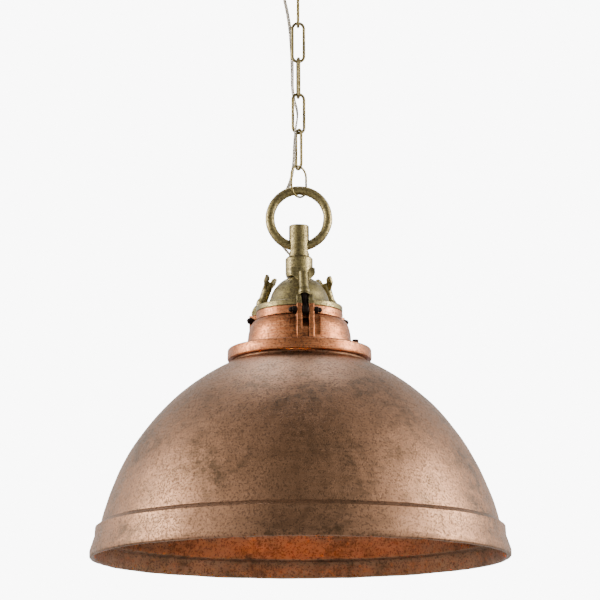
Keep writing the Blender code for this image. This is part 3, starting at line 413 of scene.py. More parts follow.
@dataclass(frozen=True)
class StrandedWire:
    """Tinned copper strands: bright, with a fine slanting lay."""

    name: str = "tinned_copper_strands"
    tone: str = "c9c2b4"
    gap: str = "6f6252"
    lay_mm: float = 1.1

    def make(self) -> Material:
        """Build the node tree and return the material."""
        material, shader = start_material(self.name, {"Metallic": 1.0, "Roughness": 0.32})
        tree = material.node_tree
        where = add_node(tree, "TexCoord").outputs["Object"]
        lay = add_node(
            tree,
            "TexWave",
            {"wave_type": "BANDS", "bands_direction": "DIAGONAL"},
            {"Vector": where, "Scale": 1000 / self.lay_mm / 6, "Distortion": 0.6},
        ).outputs["Fac"]
        inputs = {0: lay, 6: linear(self.gap), 7: linear(self.tone)}
        tone = add_node(tree, "Mix", COLOUR, inputs).outputs[2]
        bump = add_node(tree, "Bump", None, {"Distance": 0.0001, "Strength": 0.8, "Height": lay})
        feed(shader, {"Base Color": tone, "Normal": bump})
        return material


def plated(name: str, tone: str, worn: str, low: float, high: float) -> Skin:
    """Plated or blackened metal: even, with fine level scratches and paler edges.

    Args:
        name: the material's name.
        tone: its colour.
        worn: its colour where it has rubbed.
        low: its smoothest roughness.
        high: its dullest roughness.

    Returns:
        The finish.
    """
    return Skin(
        name, {"Metallic": 1.0}, 6.0, 1.5, 0.06, (tone, worn), ("Roughness", low, high),
        strength=0.8, stretch=(1, 1, 9), detail=2.0, edge_mm=0.3,
    )


def moulded(name: str, tones: tuple[str, str], roughness: float, coat: float) -> Skin:
    """A moulded or glazed skin: one colour, a faint mottle and a slight orange peel."""
    constants = {"Roughness": roughness, "Coat Weight": coat, "Coat Roughness": 0.08}
    return Skin(name, constants, 9.0, 3.0, 0.08, tones)


def make_palette() -> dict[Finish, Material]:
    """Make the material of every finish.

    Returns:
        The materials by finish.
    """
    lit_glass = {
        "Base Color": linear("f4ead8"), "Roughness": 0.45, "IOR": 1.52,
        "Transmission Weight": 0.5, "Emission Color": linear("ff9238"),
    }
    vinyl = {"IOR": 1.53, "Transmission Weight": 0.82, "Coat Weight": 0.3}
    makers = {
        Finish.SHADE_COPPER: CastMetal(
            "sand_cast_shell_antique_copper_plate", "4f3e2d", "8c6950", "b8917a",
            # The wider reach paints shade along the inner ledge and under the collar, beside the
            # dark finish in hollows.
            crackle=0.55, streak=0.12, hollow_patina_and_shade_mm=14.0,
        ),
        Finish.NECK_COPPER: CastMetal(
            "sand_cast_neck_rubbed_copper_plate", "5f3823", "a5643e", "d3956c",
            roughness=(0.30, 0.44), patch_mm=34.0, pit_mm=5.0, streak=0.5,
        ),
        Finish.BRASS: CastMetal(
            "cast_brass_darkened_and_rubbed", "332a1b", "85794f", "d3c79c",
            roughness=(0.28, 0.46), patch_mm=22.0, pit_mm=4.0, sand_mm=2.4, streak=0.2,
        ),
        Finish.IRON: plated("blackened_steel_bar", "1c1715", "4a3d36", 0.42, 0.60),
        Finish.STEEL: plated("zinc_plated_steel", "9a9b9c", "c6c7c8", 0.28, 0.42),
        Finish.NICKEL: plated("nickelled_brass_sheet", "b5ab98", "ded8c8", 0.18, 0.30),
        Finish.PORCELAIN: moulded("glazed_porcelain", ("e6e1d4", "d8d1c0"), 0.35, 0.8),
        # Acid-frosted glass with the lamp switched on: warm, and slightly clouded.
        Finish.GLASS: Skin(
            "acid_frosted_soda_glass_lit", lit_glass, 12.0, 1.6, 0.04,
            varied=("Emission Strength", 176.0, 264.0),
        ),
        Finish.PLASTIC: moulded("moulded_nylon_black", ("191817", "26231f"), 0.5, 0.0),
        # Extruded vinyl: see-through, glossy, slightly milky and drawn along.
        Finish.VINYL: Skin(
            "clear_flexible_vinyl_extruded", vinyl, 14.0, 5.0, 0.08, ("f2efe6", "dcd6c8"),
            ("Roughness", 0.10, 0.26), strength=0.5, stretch=(1, 1, 0.3),
        ),
    }
    return {finish: maker.make() for finish, maker in makers.items()}


# --- Mesh helpers ------------------------------------------------------------------------------


def at(height: float) -> float:
    """A height above the rim plane, as a Z of the part's frame."""
    return RIM_PLANE + height


def soften(corners: Sequence[Corner], closed: bool, steps: int = 4) -> list[Point]:
    """Round the corners of an outline with arcs.

    Args:
        corners: radius, height and fillet of each corner; a fillet of 0 stays sharp.
        closed: whether the last corner joins the first.
        steps: straight pieces in each arc.

    Returns:
        The outline's points.
    """
    points: list[Point] = []
    count = len(corners)
    for i, (r, z, fillet) in enumerate(corners):
        here = Vector((r, z))
        ends = not closed and i in (0, count - 1)
        if ends or fillet <= 0:
            points.append((r, z))
            continue
        back = Vector(corners[i - 1][:2]) - here
        ahead = Vector(corners[(i + 1) % count][:2]) - here
        half = back.angle(ahead) / 2
        if half > math.radians(88):
            points.append((r, z))
            continue
        cut = min(fillet / math.tan(half), back.length * 0.48, ahead.length * 0.48)
        radius = cut * math.tan(half)
        inward = (back.normalized() + ahead.normalized()).normalized()
        centre = here + inward * (radius / math.sin(half))
        first = here + back.normalized() * cut - centre
        last = here + ahead.normalized() * cut - centre
        turn = first.angle_signed(last)
        for step in range(steps + 1):
            arm = first.copy()
            arm.rotate(Matrix.Rotation(-turn * step / steps, 2))
            points.append((centre.x + arm.x, centre.y + arm.y))
    return points


def lathe(outline: Sequence[Point], closed: bool = True, steps: int = 96) -> Mesh:
    """Turn an outline of (radius, height) points about Z.

    Args:
        outline: the points; an open outline starts and ends on the axis.
        closed: whether the last point joins the first.
        steps: facets round the piece.

    Returns:
        The closed solid, with its faces outwards.
    """
    bm = bmesh.new()
    verts = [bm.verts.new((r, 0.0, z)) for r, z in outline]
    pairs = zip(verts, verts[1:] + (verts[:1] if closed else []))
    edges = [bm.edges.new(pair) for pair in pairs]
    bmesh.ops.spin(
        bm, geom=verts + edges, axis=(0, 0, 1), cent=(0, 0, 0),
        angle=math.tau, steps=steps, use_merge=True,
    )
    return tidy(bm)


def turned(corners: Sequence[Corner], steps: int, closed: bool = False) -> Mesh:
    """Soften an outline of corners and turn it about Z; an open one ends on the axis."""
    return lathe(soften(corners, closed), closed, steps)


def tidy(bm: Mesh) -> Mesh:
    """Merge doubles, drop the edges that lie on the axis, and turn every face outwards."""
    bmesh.ops.remove_doubles(bm, verts=bm.verts, dist=2e-6)
    bmesh.ops.dissolve_degenerate(bm, dist=1e-7, edges=bm.edges)
    loose = [e for e in bm.edges if not e.link_faces]
    bmesh.ops.delete(bm, geom=loose, context="EDGES")
    bmesh.ops.recalc_face_normals(bm, faces=bm.faces)
    return bm


def torus(radius: float, wire: float, steps: int, sides: int) -> Mesh:
    """A ring of round wire about Y, its middle at the origin."""
    bm = bmesh.new()
    bmesh.ops.create_circle(bm, cap_ends=False, radius=wire, segments=sides)
    bmesh.ops.translate(bm, vec=(radius, 0, 0), verts=bm.verts)
    bmesh.ops.spin(
        bm, geom=list(bm.verts) + list(bm.edges), axis=(0, 1, 0), cent=(0, 0, 0),
        angle=math.tau, steps=steps, use_merge=True,
    )
    return tidy(bm)


def arc(middle: Point, radius: float, start: float, end: float, steps: int) -> list[Point]:
    """Points along an arc between two angles, with both of its ends."""
    angles = [start + (end - start) * i / steps for i in range(steps + 1)]
    return [(middle[0] + radius * math.cos(a), middle[1] + radius * math.sin(a)) for a in angles]


def sharp(points: Iterable[Point]) -> list[Corner]:
    """Corners that stay sharp at the given points."""
    return [(x, y, 0.0) for x, y in points]


def rod(radius: float, half: float, fillet: float, steps: int) -> Mesh:
    """A short bar about Z with its middle at the origin and its ends softened."""
    corners = [(0.0, -half, 0.0), (radius, -half, fillet), (radius, half, fillet), (0.0, half, 0.0)]
    return turned(corners, steps)


def round_edges(bm: Mesh, edges: Iterable[Edge], radius: float, steps: int) -> Mesh:
    """Round some edges of a mesh and tidy it."""
    bmesh.ops.bevel(
        bm, geom=list(edges), offset=radius, segments=steps, profile=0.5, affect="EDGES",
        material=-1, clamp_overlap=True,
    )
    return tidy(bm)


def plate(
    outline: Sequence[Point], width: float, middle: float = 0.0, edge: float = 0.0
) -> Mesh:
    """Extrude a (y, z) outline along X and soften its edges.

    Args:
        outline: the plate's corners.
        width: its thickness along X.
        middle: where along X it is centred.
        edge: how far every edge is rounded.

    Returns:
        The plate.
    """
    bm = bmesh.new()
    face = bm.faces.new([bm.verts.new((middle - width / 2, y, z)) for y, z in outline])
    made = bmesh.ops.extrude_face_region(bm, geom=[face])
    moved = [v for v in made["geom"] if isinstance(v, bmesh.types.BMVert)]
    bmesh.ops.translate(bm, vec=(width, 0, 0), verts=moved)
    return round_edges(bm, bm.edges, edge, 3) if edge else tidy(bm)


def block(low: Sequence[float], high: Sequence[float]) -> Mesh:
    """A plain block between two corners, used to cut with."""
    bm = bmesh.new()
    bmesh.ops.create_cube(bm, size=1.0)
    bmesh.ops.scale(bm, vec=Vector(high) - Vector(low), verts=bm.verts)
    bmesh.ops.translate(bm, vec=(Vector(high) + Vector(low)) / 2, verts=bm.verts)
    return bm


def barrel(radius: float, start: Sequence[float], end: Sequence[float], sides: int = 32) -> Mesh:
    """A round bar between two points."""
    start, end = Vector(start), Vector(end)
    bm = bmesh.new()
    bmesh.ops.create_cone(
        bm, cap_ends=True, segments=sides, radius1=radius, radius2=radius,
        depth=(end - start).length,
    )
    turn = Vector((0, 0, 1)).rotation_difference(end - start).to_matrix().to_4x4()
    bmesh.ops.transform(bm, matrix=Matrix.Translation((start + end) / 2) @ turn, verts=bm.verts)
    return bm


def moved(bm: Mesh, matrix: Matrix) -> Mesh:
    """Apply a placement to a mesh and return it."""
    bmesh.ops.transform(bm, matrix=matrix, verts=bm.verts)
    return bm


def ripple(bm: Mesh, depth: float, size: float, where: Callable[[Vector], float]) -> None:
    """Push the skin in and out a little, as a hand-dressed casting is.

    Args:
        bm: the mesh.
        depth: the largest shift.
        size: the length of a wave.
        where: a share of the depth for each place.
    """
    bm.normal_update()
    shifts = [(v, v.normal * depth * noise.noise(v.co / size) * where(v.co)) for v in bm.verts]
    for vert, shift in shifts:
        vert.co += shift


def place_object(name: str, data: bpy.types.ID) -> Object:
    """Put a new object with the given data in the scene."""
    made = bpy.data.objects.new(name, data)
    bpy.context.scene.collection.objects.link(made)
    return made


def to_object(bm: Mesh, name: str) -> Object:
    """Write a mesh to a new object in the scene."""
    mesh = bpy.data.meshes.new(name)
    bm.to_mesh(mesh)
    bm.free()
    return place_object(name, mesh)


def carve(
    base: Mesh,
    joined: Iterable[Mesh] = (),
    cut: Iterable[Mesh] = (),
) -> Mesh:
    """Join solids to a base and then cut others from it.

    Args:
        base: the solid to work on.
        joined: solids to join on.
        cut: solids to cut away.

    Returns:
        The finished solid.
    """
    target = to_object(base, "carve_base")
    helpers = []
    for operation, solids in (("UNION", joined), ("DIFFERENCE", cut)):
        for solid in solids:
            helper = to_object(solid, "carve_helper")
            modifier = target.modifiers.new("carve", "BOOLEAN")
            modifier.operation = operation
            modifier.object = helper
            helpers.append(helper)
    bpy.context.view_layer.update()
    result = bmesh.new()
    result.from_object(target, bpy.context.evaluated_depsgraph_get())
    for helper in [target, *helpers]:
        bpy.data.meshes.remove(helper.data)
    return tidy(result)


@dataclass
class Maker:
    """Turns meshes into finished pieces of the lamp and keeps count of them."""

    palette: dict[Finish, Material]
    made: list[Object] = field(default_factory=list)

    def piece(
        self,
        name: str,
        bm: Mesh,
        finish: Finish,
        body: str | None,
        nodes: Sequence[str],
        angle: float = 35.0,
    ) -> Object:
        """Make a piece that stands for CAD nodes.

        Args:
            name: the piece's name.
            bm: its mesh, in place.
            finish: its finish.
            body: the body it rides on, or None if it will be blended.
            nodes: the CAD nodes it replaces.
            angle: edges sharper than this stay sharp.

        Returns:
            The piece.
        """
        made = to_object(bm, name)
        made.data.materials.append(self.palette[finish])
        made.data.shade_smooth()
        made.data.set_sharp_from_angle(angle=math.radians(angle))
        if body:
            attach(made, body)
        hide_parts(*nodes)
        self.made.append(made)
        LOG.info("%s: %d faces, for %s", name, len(made.data.polygons), ", ".join(nodes))
        return made

    def dress(self, finish: Finish, *nodes: str) -> None:
        """Give CAD nodes that stay as they are the material of a finish."""
        for node in nodes:
            data = frame["nodes"][node].data
            data.materials.clear()
            data.materials.append(self.palette[finish])
            LOG.info("%s keeps its shape", node)


# --- Sub-assemblies ----------------------------------------------------------------------------


@dataclass
class Shade:
    """The cast dome with its flared band and rolled lip, and the collar ring screwed on it."""

    rim_radius: float = 0.2668
    lip: float = 0.0028
    band_top_radius: float = 0.2602
    band_top: float = 0.0388
    bowl_foot: float = 0.0442
    bowl_top: float = 0.2485
    bowl_width: float = 0.26616
    bowl_base: float = -0.09157
    bowl_height: float = 0.36454
    bowl_lean: float = 2.482
    bowl_swell: float = 1.774
    wall: float = 0.0036
    top: float = 0.2548
    seat_radius: float = 0.0865
    mouth_radius: float = 0.0620
    ledge_height: float = 0.0235
    ledge_radius: float = 0.2500
    collar_top: float = 0.2695
    collar_radius: float = 0.0930
    collar_bore: float = 0.0460
    screw_circle: float = 0.0815
    screw_azimuths: tuple[float, float] = (61.0, 241.0)
    screw_head: float = 0.0041

    def bowl_radius(self, height: float) -> float:
        """The dome's outer radius at a height."""
        rise = (height - self.bowl_base) / self.bowl_height
        return self.bowl_width * (1 - rise**self.bowl_lean) ** (1 / self.bowl_swell)

    def bowl(self, inset: float, steps: int = 44) -> list[Corner]:
        """The dome from its foot to its top, moved inwards by an inset."""
        rise = self.bowl_top - self.bowl_foot
        step = 1e-4
        points = []
        for i in range(steps + 1):
            h = self.bowl_foot + rise * math.sin(math.pi / 2 * i / steps)
            slope = (self.bowl_radius(h + step) - self.bowl_radius(h - step)) / (2 * step)
            away = Vector((1.0, -slope)).normalized() * inset
            points.append((self.bowl_radius(h) - away.x, at(h - away.y), 0.0))
        return points

    def outline(self) -> list[Point]:
        """The whole section: lip, band, dome and seat outside, dome, ledge and band inside."""
        inner_lip = self.rim_radius - 2 * self.lip
        corners = [
            (inner_lip, at(0.0), self.lip * 0.95),
            (self.rim_radius, at(0.0), self.lip * 0.95),
            (self.rim_radius, at(0.0085), 0.004),
            (self.band_top_radius + 0.0008, at(self.band_top - 0.0120), 0.010),
            (self.band_top_radius + 0.0002, at(self.band_top - 0.0004), 0.0011),
            (self.band_top_radius - 0.0022, at(self.band_top + 0.0012), 0.0012),
        ]
        corners += self.bowl(0.0)[:-1]
        corners += [
            (self.seat_radius + 0.0022, at(self.bowl_top + 0.0004), 0.0008),
            (self.seat_radius + 0.0004, at(self.bowl_top + 0.0034), 0.0010),
            (self.seat_radius, at(self.top), 0.0010),
            (self.mouth_radius, at(self.top), 0.0010),
            (self.mouth_radius, at(self.top - self.wall), 0.0010),
            (self.seat_radius - 0.006, at(self.top - self.wall), 0.0020),
        ]
        corners += list(reversed(self.bowl(self.wall)))[1:-1]
        corners += [
            (self.ledge_radius, at(self.ledge_height + 0.0050), 0.0012),
            (self.ledge_radius + 0.0004, at(self.ledge_height + 0.0012), 0.0008),
            (self.rim_radius - 0.0080, at(self.ledge_height - 0.0016), 0.0012),
        ]
        return soften(corners, closed=True)

    def make_shell(self, maker: Maker) -> None:
        """Cast the dome, with the dressed waviness of its skin."""
        bm = lathe(self.outline(), steps=224)
        crest = at(self.bowl_top)
        foot = at(self.bowl_foot)

        def share(place: Vector) -> float:
            """All of it on the dome's flank, none on the seat or inside the mouth."""
            rise = (crest - place.z) / (crest - foot)
            return max(0.0, min(1.0, rise * 3))

        ripple(bm, 0.0007, 0.055, share)
        ripple(bm, 0.0003, 0.016, share)
        maker.piece("shade_casting", bm, Finish.SHADE_COPPER, "lamp", ["shade"], 30)

    def make_collar(self, maker: Maker) -> None:
        """Turn the collar ring with its soft edges and drill its screw holes."""
        bottom = self.top + CHEEK_GAP
        corners = [
            (self.collar_bore, at(bottom), 0.0006),
            (self.collar_radius - 0.0006, at(bottom), 0.0012),
            (self.collar_radius, at(bottom + 0.0030), 0.0020),
            (self.collar_radius - 0.0004, at(self.collar_top - 0.0010), 0.0030),
            (self.collar_radius - 0.0024, at(self.collar_top), 0.0022),
            (self.collar_bore, at(self.collar_top), 0.0006),
        ]
        bm = turned(corners, 160, closed=True)
        flank = self.collar_radius - 0.004
        ripple(bm, 0.0003, 0.020, lambda place: 1.0 if place.xy.length > flank else 0.0)
        holes = []
        for azimuth in self.screw_azimuths:
            place = polar(azimuth, self.screw_circle, at(self.collar_top))
            below = place - Vector((0, 0, self.collar_top - bottom + 0.002))
            holes.append(barrel(0.0028, below, place + Vector((0, 0, 0.002)), 24))
        drilled = carve(bm, cut=holes)
        maker.piece("collar_ring_turned", drilled, Finish.NECK_COPPER, "lamp", ["collar_ring"])

    def make_screws(self, maker: Maker) -> None:
        """Make the two dark socket-head screws that hold the collar on."""
        head = self.screw_head
        shank = 0.0025
        corners = [
            (0.0, -0.0200, 0.0), (shank, -0.0200, 0.0), (shank, 0.0, 0.0), (head, 0.0, 0.0003),
            (head, 0.0055, 0.0008), (0.0022, 0.0055, 0.0002), (0.0020, 0.0026, 0.0),
            (0.0, 0.0026, 0.0),
        ]
        for label, azimuth in zip(("front", "rear"), self.screw_azimuths):
            place = polar(azimuth, self.screw_circle, at(self.collar_top) + CHEEK_GAP)
            bm = moved(turned(corners, 32), Matrix.Translation(place))
            node = f"collar_screw_{label}"
            maker.piece(f"{node}_socket_head", bm, Finish.IRON, "lamp", [node])

    def build(self, maker: Maker) -> None:
        """Make the shell, the collar and their screws."""
        self.make_shell(maker)
        self.make_collar(maker)
        self.make_screws(maker)


def polar(azimuth: float, radius: float, z: float) -> Vector:
    """A place at an azimuth from the front, a radius from the lamp's axis and a Z."""
    turn = math.radians(azimuth)
    return Vector((radius * math.sin(turn), -radius * math.cos(turn), z))


@dataclass
class Latch:
    """A swing bolt on its pin, leaning in over the cap's lugs, with its washer and wing nut."""

    side: Side
    pin_circle: float = 0.0625
    pin_height: float = 0.3098
    pin_radius: float = 0.0025
    pin_half: float = 0.0188
    fork_width: float = 0.0220
    slot_width: float = 0.0088
    lean: float = math.radians(21.5)
    bolt_radius: float = 0.0039
    bolt_length: float = 0.0480
    thread_pitch: float = 0.00125
    eye_radius: float = 0.0062
    eye_width: float = 0.0078
    seat_radius: float = 0.0216
    washer: tuple[float, float] = (0.0073, 0.0017)
    nut_radius: float = 0.0076
    nut_top_radius: float = 0.0066
    nut_top: float = 0.0567
    wing_span: float = 0.0310
    wing_top: float = 0.0645
    wing_root: float = 0.0450
    wing_thickness: float = 0.0036
    scoop_radius: float = 0.0100
    scoop_depth: float = 0.0009

    @property
    def frame(self) -> Matrix:
        """The latch's own frame: on the pin, with -Y outwards and X along the pin."""
        place = polar(self.side.value, self.pin_circle, at(self.pin_height))
        return Matrix.Translation(place) @ Matrix.Rotation(math.radians(self.side.value), 4, "Z")

    @property
    def bolt_frame(self) -> Matrix:
        """The same frame leant inwards with the bolt along Z."""
        return self.frame @ Matrix.Rotation(-self.lean, 4, "X")

    def outward(self, radius: float) -> float:
        """A radius from the lamp's axis, as a Y in the latch's frame."""
        return self.pin_circle - radius

    def above(self, height: float) -> float:
        """A height over the rim, as a Z in the latch's frame."""
        return height - self.pin_height

    def make_pin(self, maker: Maker) -> None:
        """Make the cross pin and the two-step domed nut on each end."""
        sideways = Matrix.Rotation(math.pi / 2, 4, "Y")
        bar = moved(rod(self.pin_radius, self.pin_half, 0.0003, 32), self.frame @ sideways)
        label = self.side.label
        pin_node = f"pivot_pin_{label}"
        maker.piece(f"{pin_node}_bar", bar, Finish.IRON, "lamp", [pin_node])
        start = self.fork_width / 2 + CHEEK_GAP
        bore = self.pin_radius + CHEEK_GAP
        corners = [
            (bore, start, 0.0), (0.0046, start, 0.0004), (0.0046, 0.0164, 0.0008),
            (0.0034, 0.0167, 0.0002), (0.0034, 0.0196, 0.0014), (0.0012, 0.0215, 0.0008),
            (0.0, 0.0216, 0.0),
        ]
        inside = [(0.0, 0.0192), (bore, 0.0192), (bore, start)]
        for number, hand in ((1, -1), (2, 1)):
            nut = lathe(soften(corners, closed=False) + inside, closed=False, steps=32)
            turn = self.frame @ Matrix.Rotation(hand * math.pi / 2, 4, "Y")
            node = f"pin_nut_{label}_{number}"
            maker.piece(f"{node}_domed", moved(nut, turn), Finish.IRON, "lamp", [node])

    def make_bolt(self, maker: Maker) -> None:
        """Forge the eye, the waisted shank and the threaded end."""
        r = self.bolt_radius
        core = r - 0.0004
        corners = [
            (0.0, 0.0030, 0.0), (0.0046, 0.0030, 0.0), (0.0042, 0.0064, 0.0020),
            (0.0031, 0.0095, 0.0030), (0.0032, 0.0125, 0.0020), (r, 0.0155, 0.0010),
            (r, 0.0190, 0.0003), (core, 0.0193, 0.0),
            (core, self.bolt_length - 0.0008, 0.0004), (core - 0.0008, self.bolt_length, 0.0),
            (0.0, self.bolt_length, 0.0),
        ]
        shank = turned(corners, 40)
        half = self.eye_width / 2
        sideways = Matrix.Rotation(math.pi / 2, 4, "Y")
        eye = moved(rod(self.eye_radius, half, 0.0010, 40), sideways)
        hole = barrel(self.pin_radius + CHEEK_GAP, (-half - 0.002, 0, 0), (half + 0.002, 0, 0))
        bolt = moved(carve(shank, [eye, self.thread(core)], [hole]), self.bolt_frame)
        node = f"swing_bolt_{self.side.label}"
        maker.piece(f"{node}_forged", bolt, Finish.IRON, f"bolt_{self.side.label}", [node])

    def thread(self, core: float) -> Mesh:
        """Wind one ridge round the shank, from over the waist to the tip."""
        bm = bmesh.new()
        half = self.thread_pitch * 0.42
        start = 0.0200
        turns = int((self.bolt_length - 0.0012 - start) / self.thread_pitch)
        root, crest = core - 0.0006, self.bolt_radius - 0.00002
        shape = [(root, -half), (core, -half), (crest, 0.0), (core, half), (root, half)]
        face = bm.faces.new([bm.verts.new((x, 0.0, start + z)) for x, z in shape])
        steps = 20
        bmesh.ops.spin(
            bm, geom=[face], axis=(0, 0, 1), cent=(0, 0, 0), dvec=(0, 0, self.thread_pitch / steps),
            angle=math.tau * turns, steps=steps * turns, use_merge=False,
        )
        return tidy(bm)

    def make_washer(self, maker: Maker) -> None:
        """Turn the washer under the nut."""
        outer, thick = self.washer
        low = self.seat_radius + CHEEK_GAP
        bore = self.bolt_radius + CHEEK_GAP
        corners = [(bore, low, 0.0002), (outer, low, 0.0004)]
        corners += [(outer, low + thick, 0.0004), (bore, low + thick, 0.0002)]
        bm = moved(turned(corners, 48, closed=True), self.bolt_frame)
        node = f"washer_{self.side.label}"
        maker.piece(f"{node}_turned", bm, Finish.BRASS, node, [node])

    def make_wing_nut(self, maker: Maker) -> None:
        """Cast the tall barrel with its two scooped wings."""
        low = self.seat_radius + 2 * CHEEK_GAP + self.washer[1]
        bore = self.bolt_radius + CHEEK_GAP
        roof = self.bolt_length + 0.0020
        outside = [
            (bore + 0.0004, low, 0.0), (self.nut_radius, low, 0.0006),
            (self.nut_radius, low + 0.0046, 0.0016),
            (self.nut_top_radius - 0.0006, low + 0.0088, 0.0040),
            (self.nut_top_radius - 0.0002, self.nut_top - 0.0040, 0.0040),
            (self.nut_top_radius, self.nut_top, 0.0012), (0.0, self.nut_top, 0.0),
        ]
        inside = [(0.0, roof), (bore, roof), (bore, low + 0.0004), (bore + 0.0004, low)]
        body = lathe(soften(outside, closed=False) + inside, closed=False, steps=48)
        wings = [self.wing(hand) for hand in (-1, 1)]
        node = f"wing_nut_{self.side.label}"
        cast = moved(carve(body, joined=wings), self.bolt_frame)
        maker.piece(f"{node}_cast", cast, Finish.BRASS, f"nut_{self.side.label}", [node])

    def wing(self, hand: int) -> Mesh:
        """One wing: a curved blade with a raised rim and a scooped face on both sides."""
        half = self.wing_span / 2
        inner = self.nut_top - 0.0010
        corners = [
            (0.0046, self.wing_root, 0.0),
            (self.nut_top_radius + 0.0005, self.wing_root + 0.0006, 0.0010),
            (half - 0.0026, self.wing_root + 0.0066, 0.0030),
            (half, self.wing_root + 0.0105, 0.0030),
            (half, self.wing_top, 0.0034), (half - 0.0050, self.wing_top - 0.0002, 0.0022),
            (self.nut_top_radius + 0.0006, self.wing_top - 0.0034, 0.0024),
            (self.nut_top_radius - 0.0010, inner, 0.0008), (0.0046, inner, 0.0),
        ]
        blade = plate(soften(corners, closed=True, steps=4), self.wing_thickness)
        across = self.wing_thickness / 2 + self.scoop_radius - self.scoop_depth
        middle = (self.nut_top_radius + half) / 2 + 0.0006
        low, high = self.wing_root - 0.004, self.wing_top + 0.004
        scoops = [
            barrel(self.scoop_radius, (x, middle, low), (x, middle, high), 64)
            for x in (-across, across)
        ]
        blade = carve(blade, cut=scoops)
        rim = [e for e in blade.edges if e.calc_face_angle(0.0) > 0.9]
        blade = round_edges(blade, rim, 0.0004, 2)
        return moved(blade, Matrix.Rotation(-hand * math.pi / 2, 4, "Z"))

    def build(self, maker: Maker) -> None:
        """Make the latch's pieces."""
        self.make_pin(maker)
        self.make_bolt(maker)
        self.make_washer(maker)
        self.make_wing_nut(maker)


@dataclass
class Head:
    """The neck casting with its forks, the brass cap with its lugs, and the stem."""

    latches: list[Latch]
    neck_bottom: float = 0.2698
    neck_radius: float = 0.0670
    bulge_top_radius: float = 0.0540
    bulge_top: float = 0.3065
    bulge_power: float = 2.5
    band_radius: float = 0.0555
    neck_top: float = 0.3180
    neck_bore: float = 0.0470
    fork_face: float = 0.0665
    fork_bottom: float = 0.2740
    pocket_width: float = 0.0090
    pocket_floor: tuple[Point, ...] = (
        (0.0630, 0.2775), (0.0630, 0.2880), (0.0575, 0.3010), (0.0575, 0.3155),
    )
    slot_floor: tuple[Point, ...] = (
        (0.0635, 0.2746), (0.0635, 0.2880), (0.0543, 0.3010), (0.0543, 0.3200),
    )
    cut_reach: float = 0.0720
    lug_face: float = 0.0630
    lug_root: float = 0.0480
    notch_radius: float = 0.0512
    cap_bottom: float = 0.3183
    flange_top: float = 0.3256
    flange_radius: float = 0.0560
    dome_centre: float = DOME_CENTRE
    dome_radius: float = DOME_RADIUS
    dome_wall: float = 0.0040
    dome_hole: float = 0.0082
    stem_collar: tuple[float, float] = (0.3662, 0.3916)
    stem_collar_radius: float = 0.0178
    stem_radius: float = 0.0133
    stem_top: float = 0.4337
    ring_centre: float = RING_CENTRE
    ring_radius: float = RING_RADIUS
    ring_wire: float = RING_WIRE

    def neck_outline(self) -> list[Point]:
        """The neck's section: swelling bulge, sharp step, straight band, hollow inside."""
        steps = 22
        rise = self.bulge_top - self.neck_bottom
        swell = self.neck_radius - self.bulge_top_radius
        corners = [(self.neck_bore + 0.002, at(self.neck_bottom), 0.0)]
        for i in range(steps + 1):
            t = math.sin(math.pi / 2 * i / steps)
            out = (1 - t**self.bulge_power) ** (1 / self.bulge_power)
            radius = self.bulge_top_radius + swell * out
            corners.append((radius, at(self.neck_bottom + rise * t), 0.0))
        corners += [
            (self.bulge_top_radius + 0.0002, at(self.bulge_top + 0.0004), 0.0),
            (self.band_radius, at(self.bulge_top + 0.0012), 0.0005),
            (self.band_radius, at(self.neck_top), 0.0007),
            (self.neck_bore, at(self.neck_top), 0.0007),
            (self.neck_bore, at(self.bulge_top), 0.0020),
            (self.bulge_top_radius - 0.0020, at(self.bulge_top - 0.0060), 0.0060),
            (self.neck_radius - 0.0060, at(0.2880), 0.0060),
            (self.neck_radius - 0.0060, at(self.neck_bottom + 0.0050), 0.0010),
            (self.neck_bore + 0.002, at(self.neck_bottom + 0.0050), 0.0006),
        ]
        return soften(corners, closed=True)

    def cheek(self, latch: Latch, hand: int) -> Mesh:
        """One cheek of a fork: a slab with a soft face, footed on the collar."""
        width = (latch.fork_width - latch.slot_width) / 2
        middle = hand * (latch.slot_width + width) / 2
        bottom, top = latch.above(self.fork_bottom - 0.0036), latch.above(self.neck_top)
        root, face = latch.outward(self.band_radius - 0.004), latch.outward(self.fork_face)
        outline = [(face, bottom), (root, bottom), (root, top), (face, top)]
        slab = plate(outline, width, middle, 0.0010)
        return moved(slab, latch.frame)

    def recess(
        self, latch: Latch, floor: Sequence[Point], width: float, middle: float, edge: float
    ) -> Mesh:
        """A cutter that reaches from outside the neck in to a floor.

        Args:
            latch: the latch it belongs to.
            floor: the radius and height of each corner of the floor.
            width: its width along the pin.
            middle: where along the pin it is centred.
            edge: how far its edges are rounded.

        Returns:
            The cutter, in place.
        """
        reach = latch.outward(self.cut_reach)
        outline = [(reach, latch.above(floor[0][1]))]
        outline += [(latch.outward(radius), latch.above(height)) for radius, height in floor]
        outline.append((reach, latch.above(floor[-1][1])))
        return moved(plate(outline, width, middle, edge), latch.frame)

    def make_neck(self, maker: Maker) -> None:
        """Cast the neck and cut its pockets, slots and pin holes."""
        bm = lathe(self.neck_outline(), steps=144)
        ripple(bm, 0.0003, 0.018, lambda place: 1.0 if place.z < at(self.bulge_top) else 0.2)
        cuts = []
        for latch in self.latches:
            offset = (latch.fork_width + self.pocket_width) / 2 - 0.0002
            for middle in (-offset, offset):
                size = self.pocket_floor, self.pocket_width
                cuts.append(self.recess(latch, *size, middle, 0.0014))
            cuts.append(self.recess(latch, self.slot_floor, latch.slot_width - 0.0001, 0.0, 0.0))
        bored = carve(bm, cut=cuts)
        cheeks = [self.cheek(latch, hand) for latch in self.latches for hand in (-1, 1)]
        reach = 0.0130
        holes = [
            moved(barrel(latch.pin_radius + CHEEK_GAP, (-reach, 0, 0), (reach, 0, 0)), latch.frame)
            for latch in self.latches
        ]
        neck = carve(bored, cheeks, holes)
        maker.piece("neck_casting", neck, Finish.NECK_COPPER, "lamp", ["neck"])

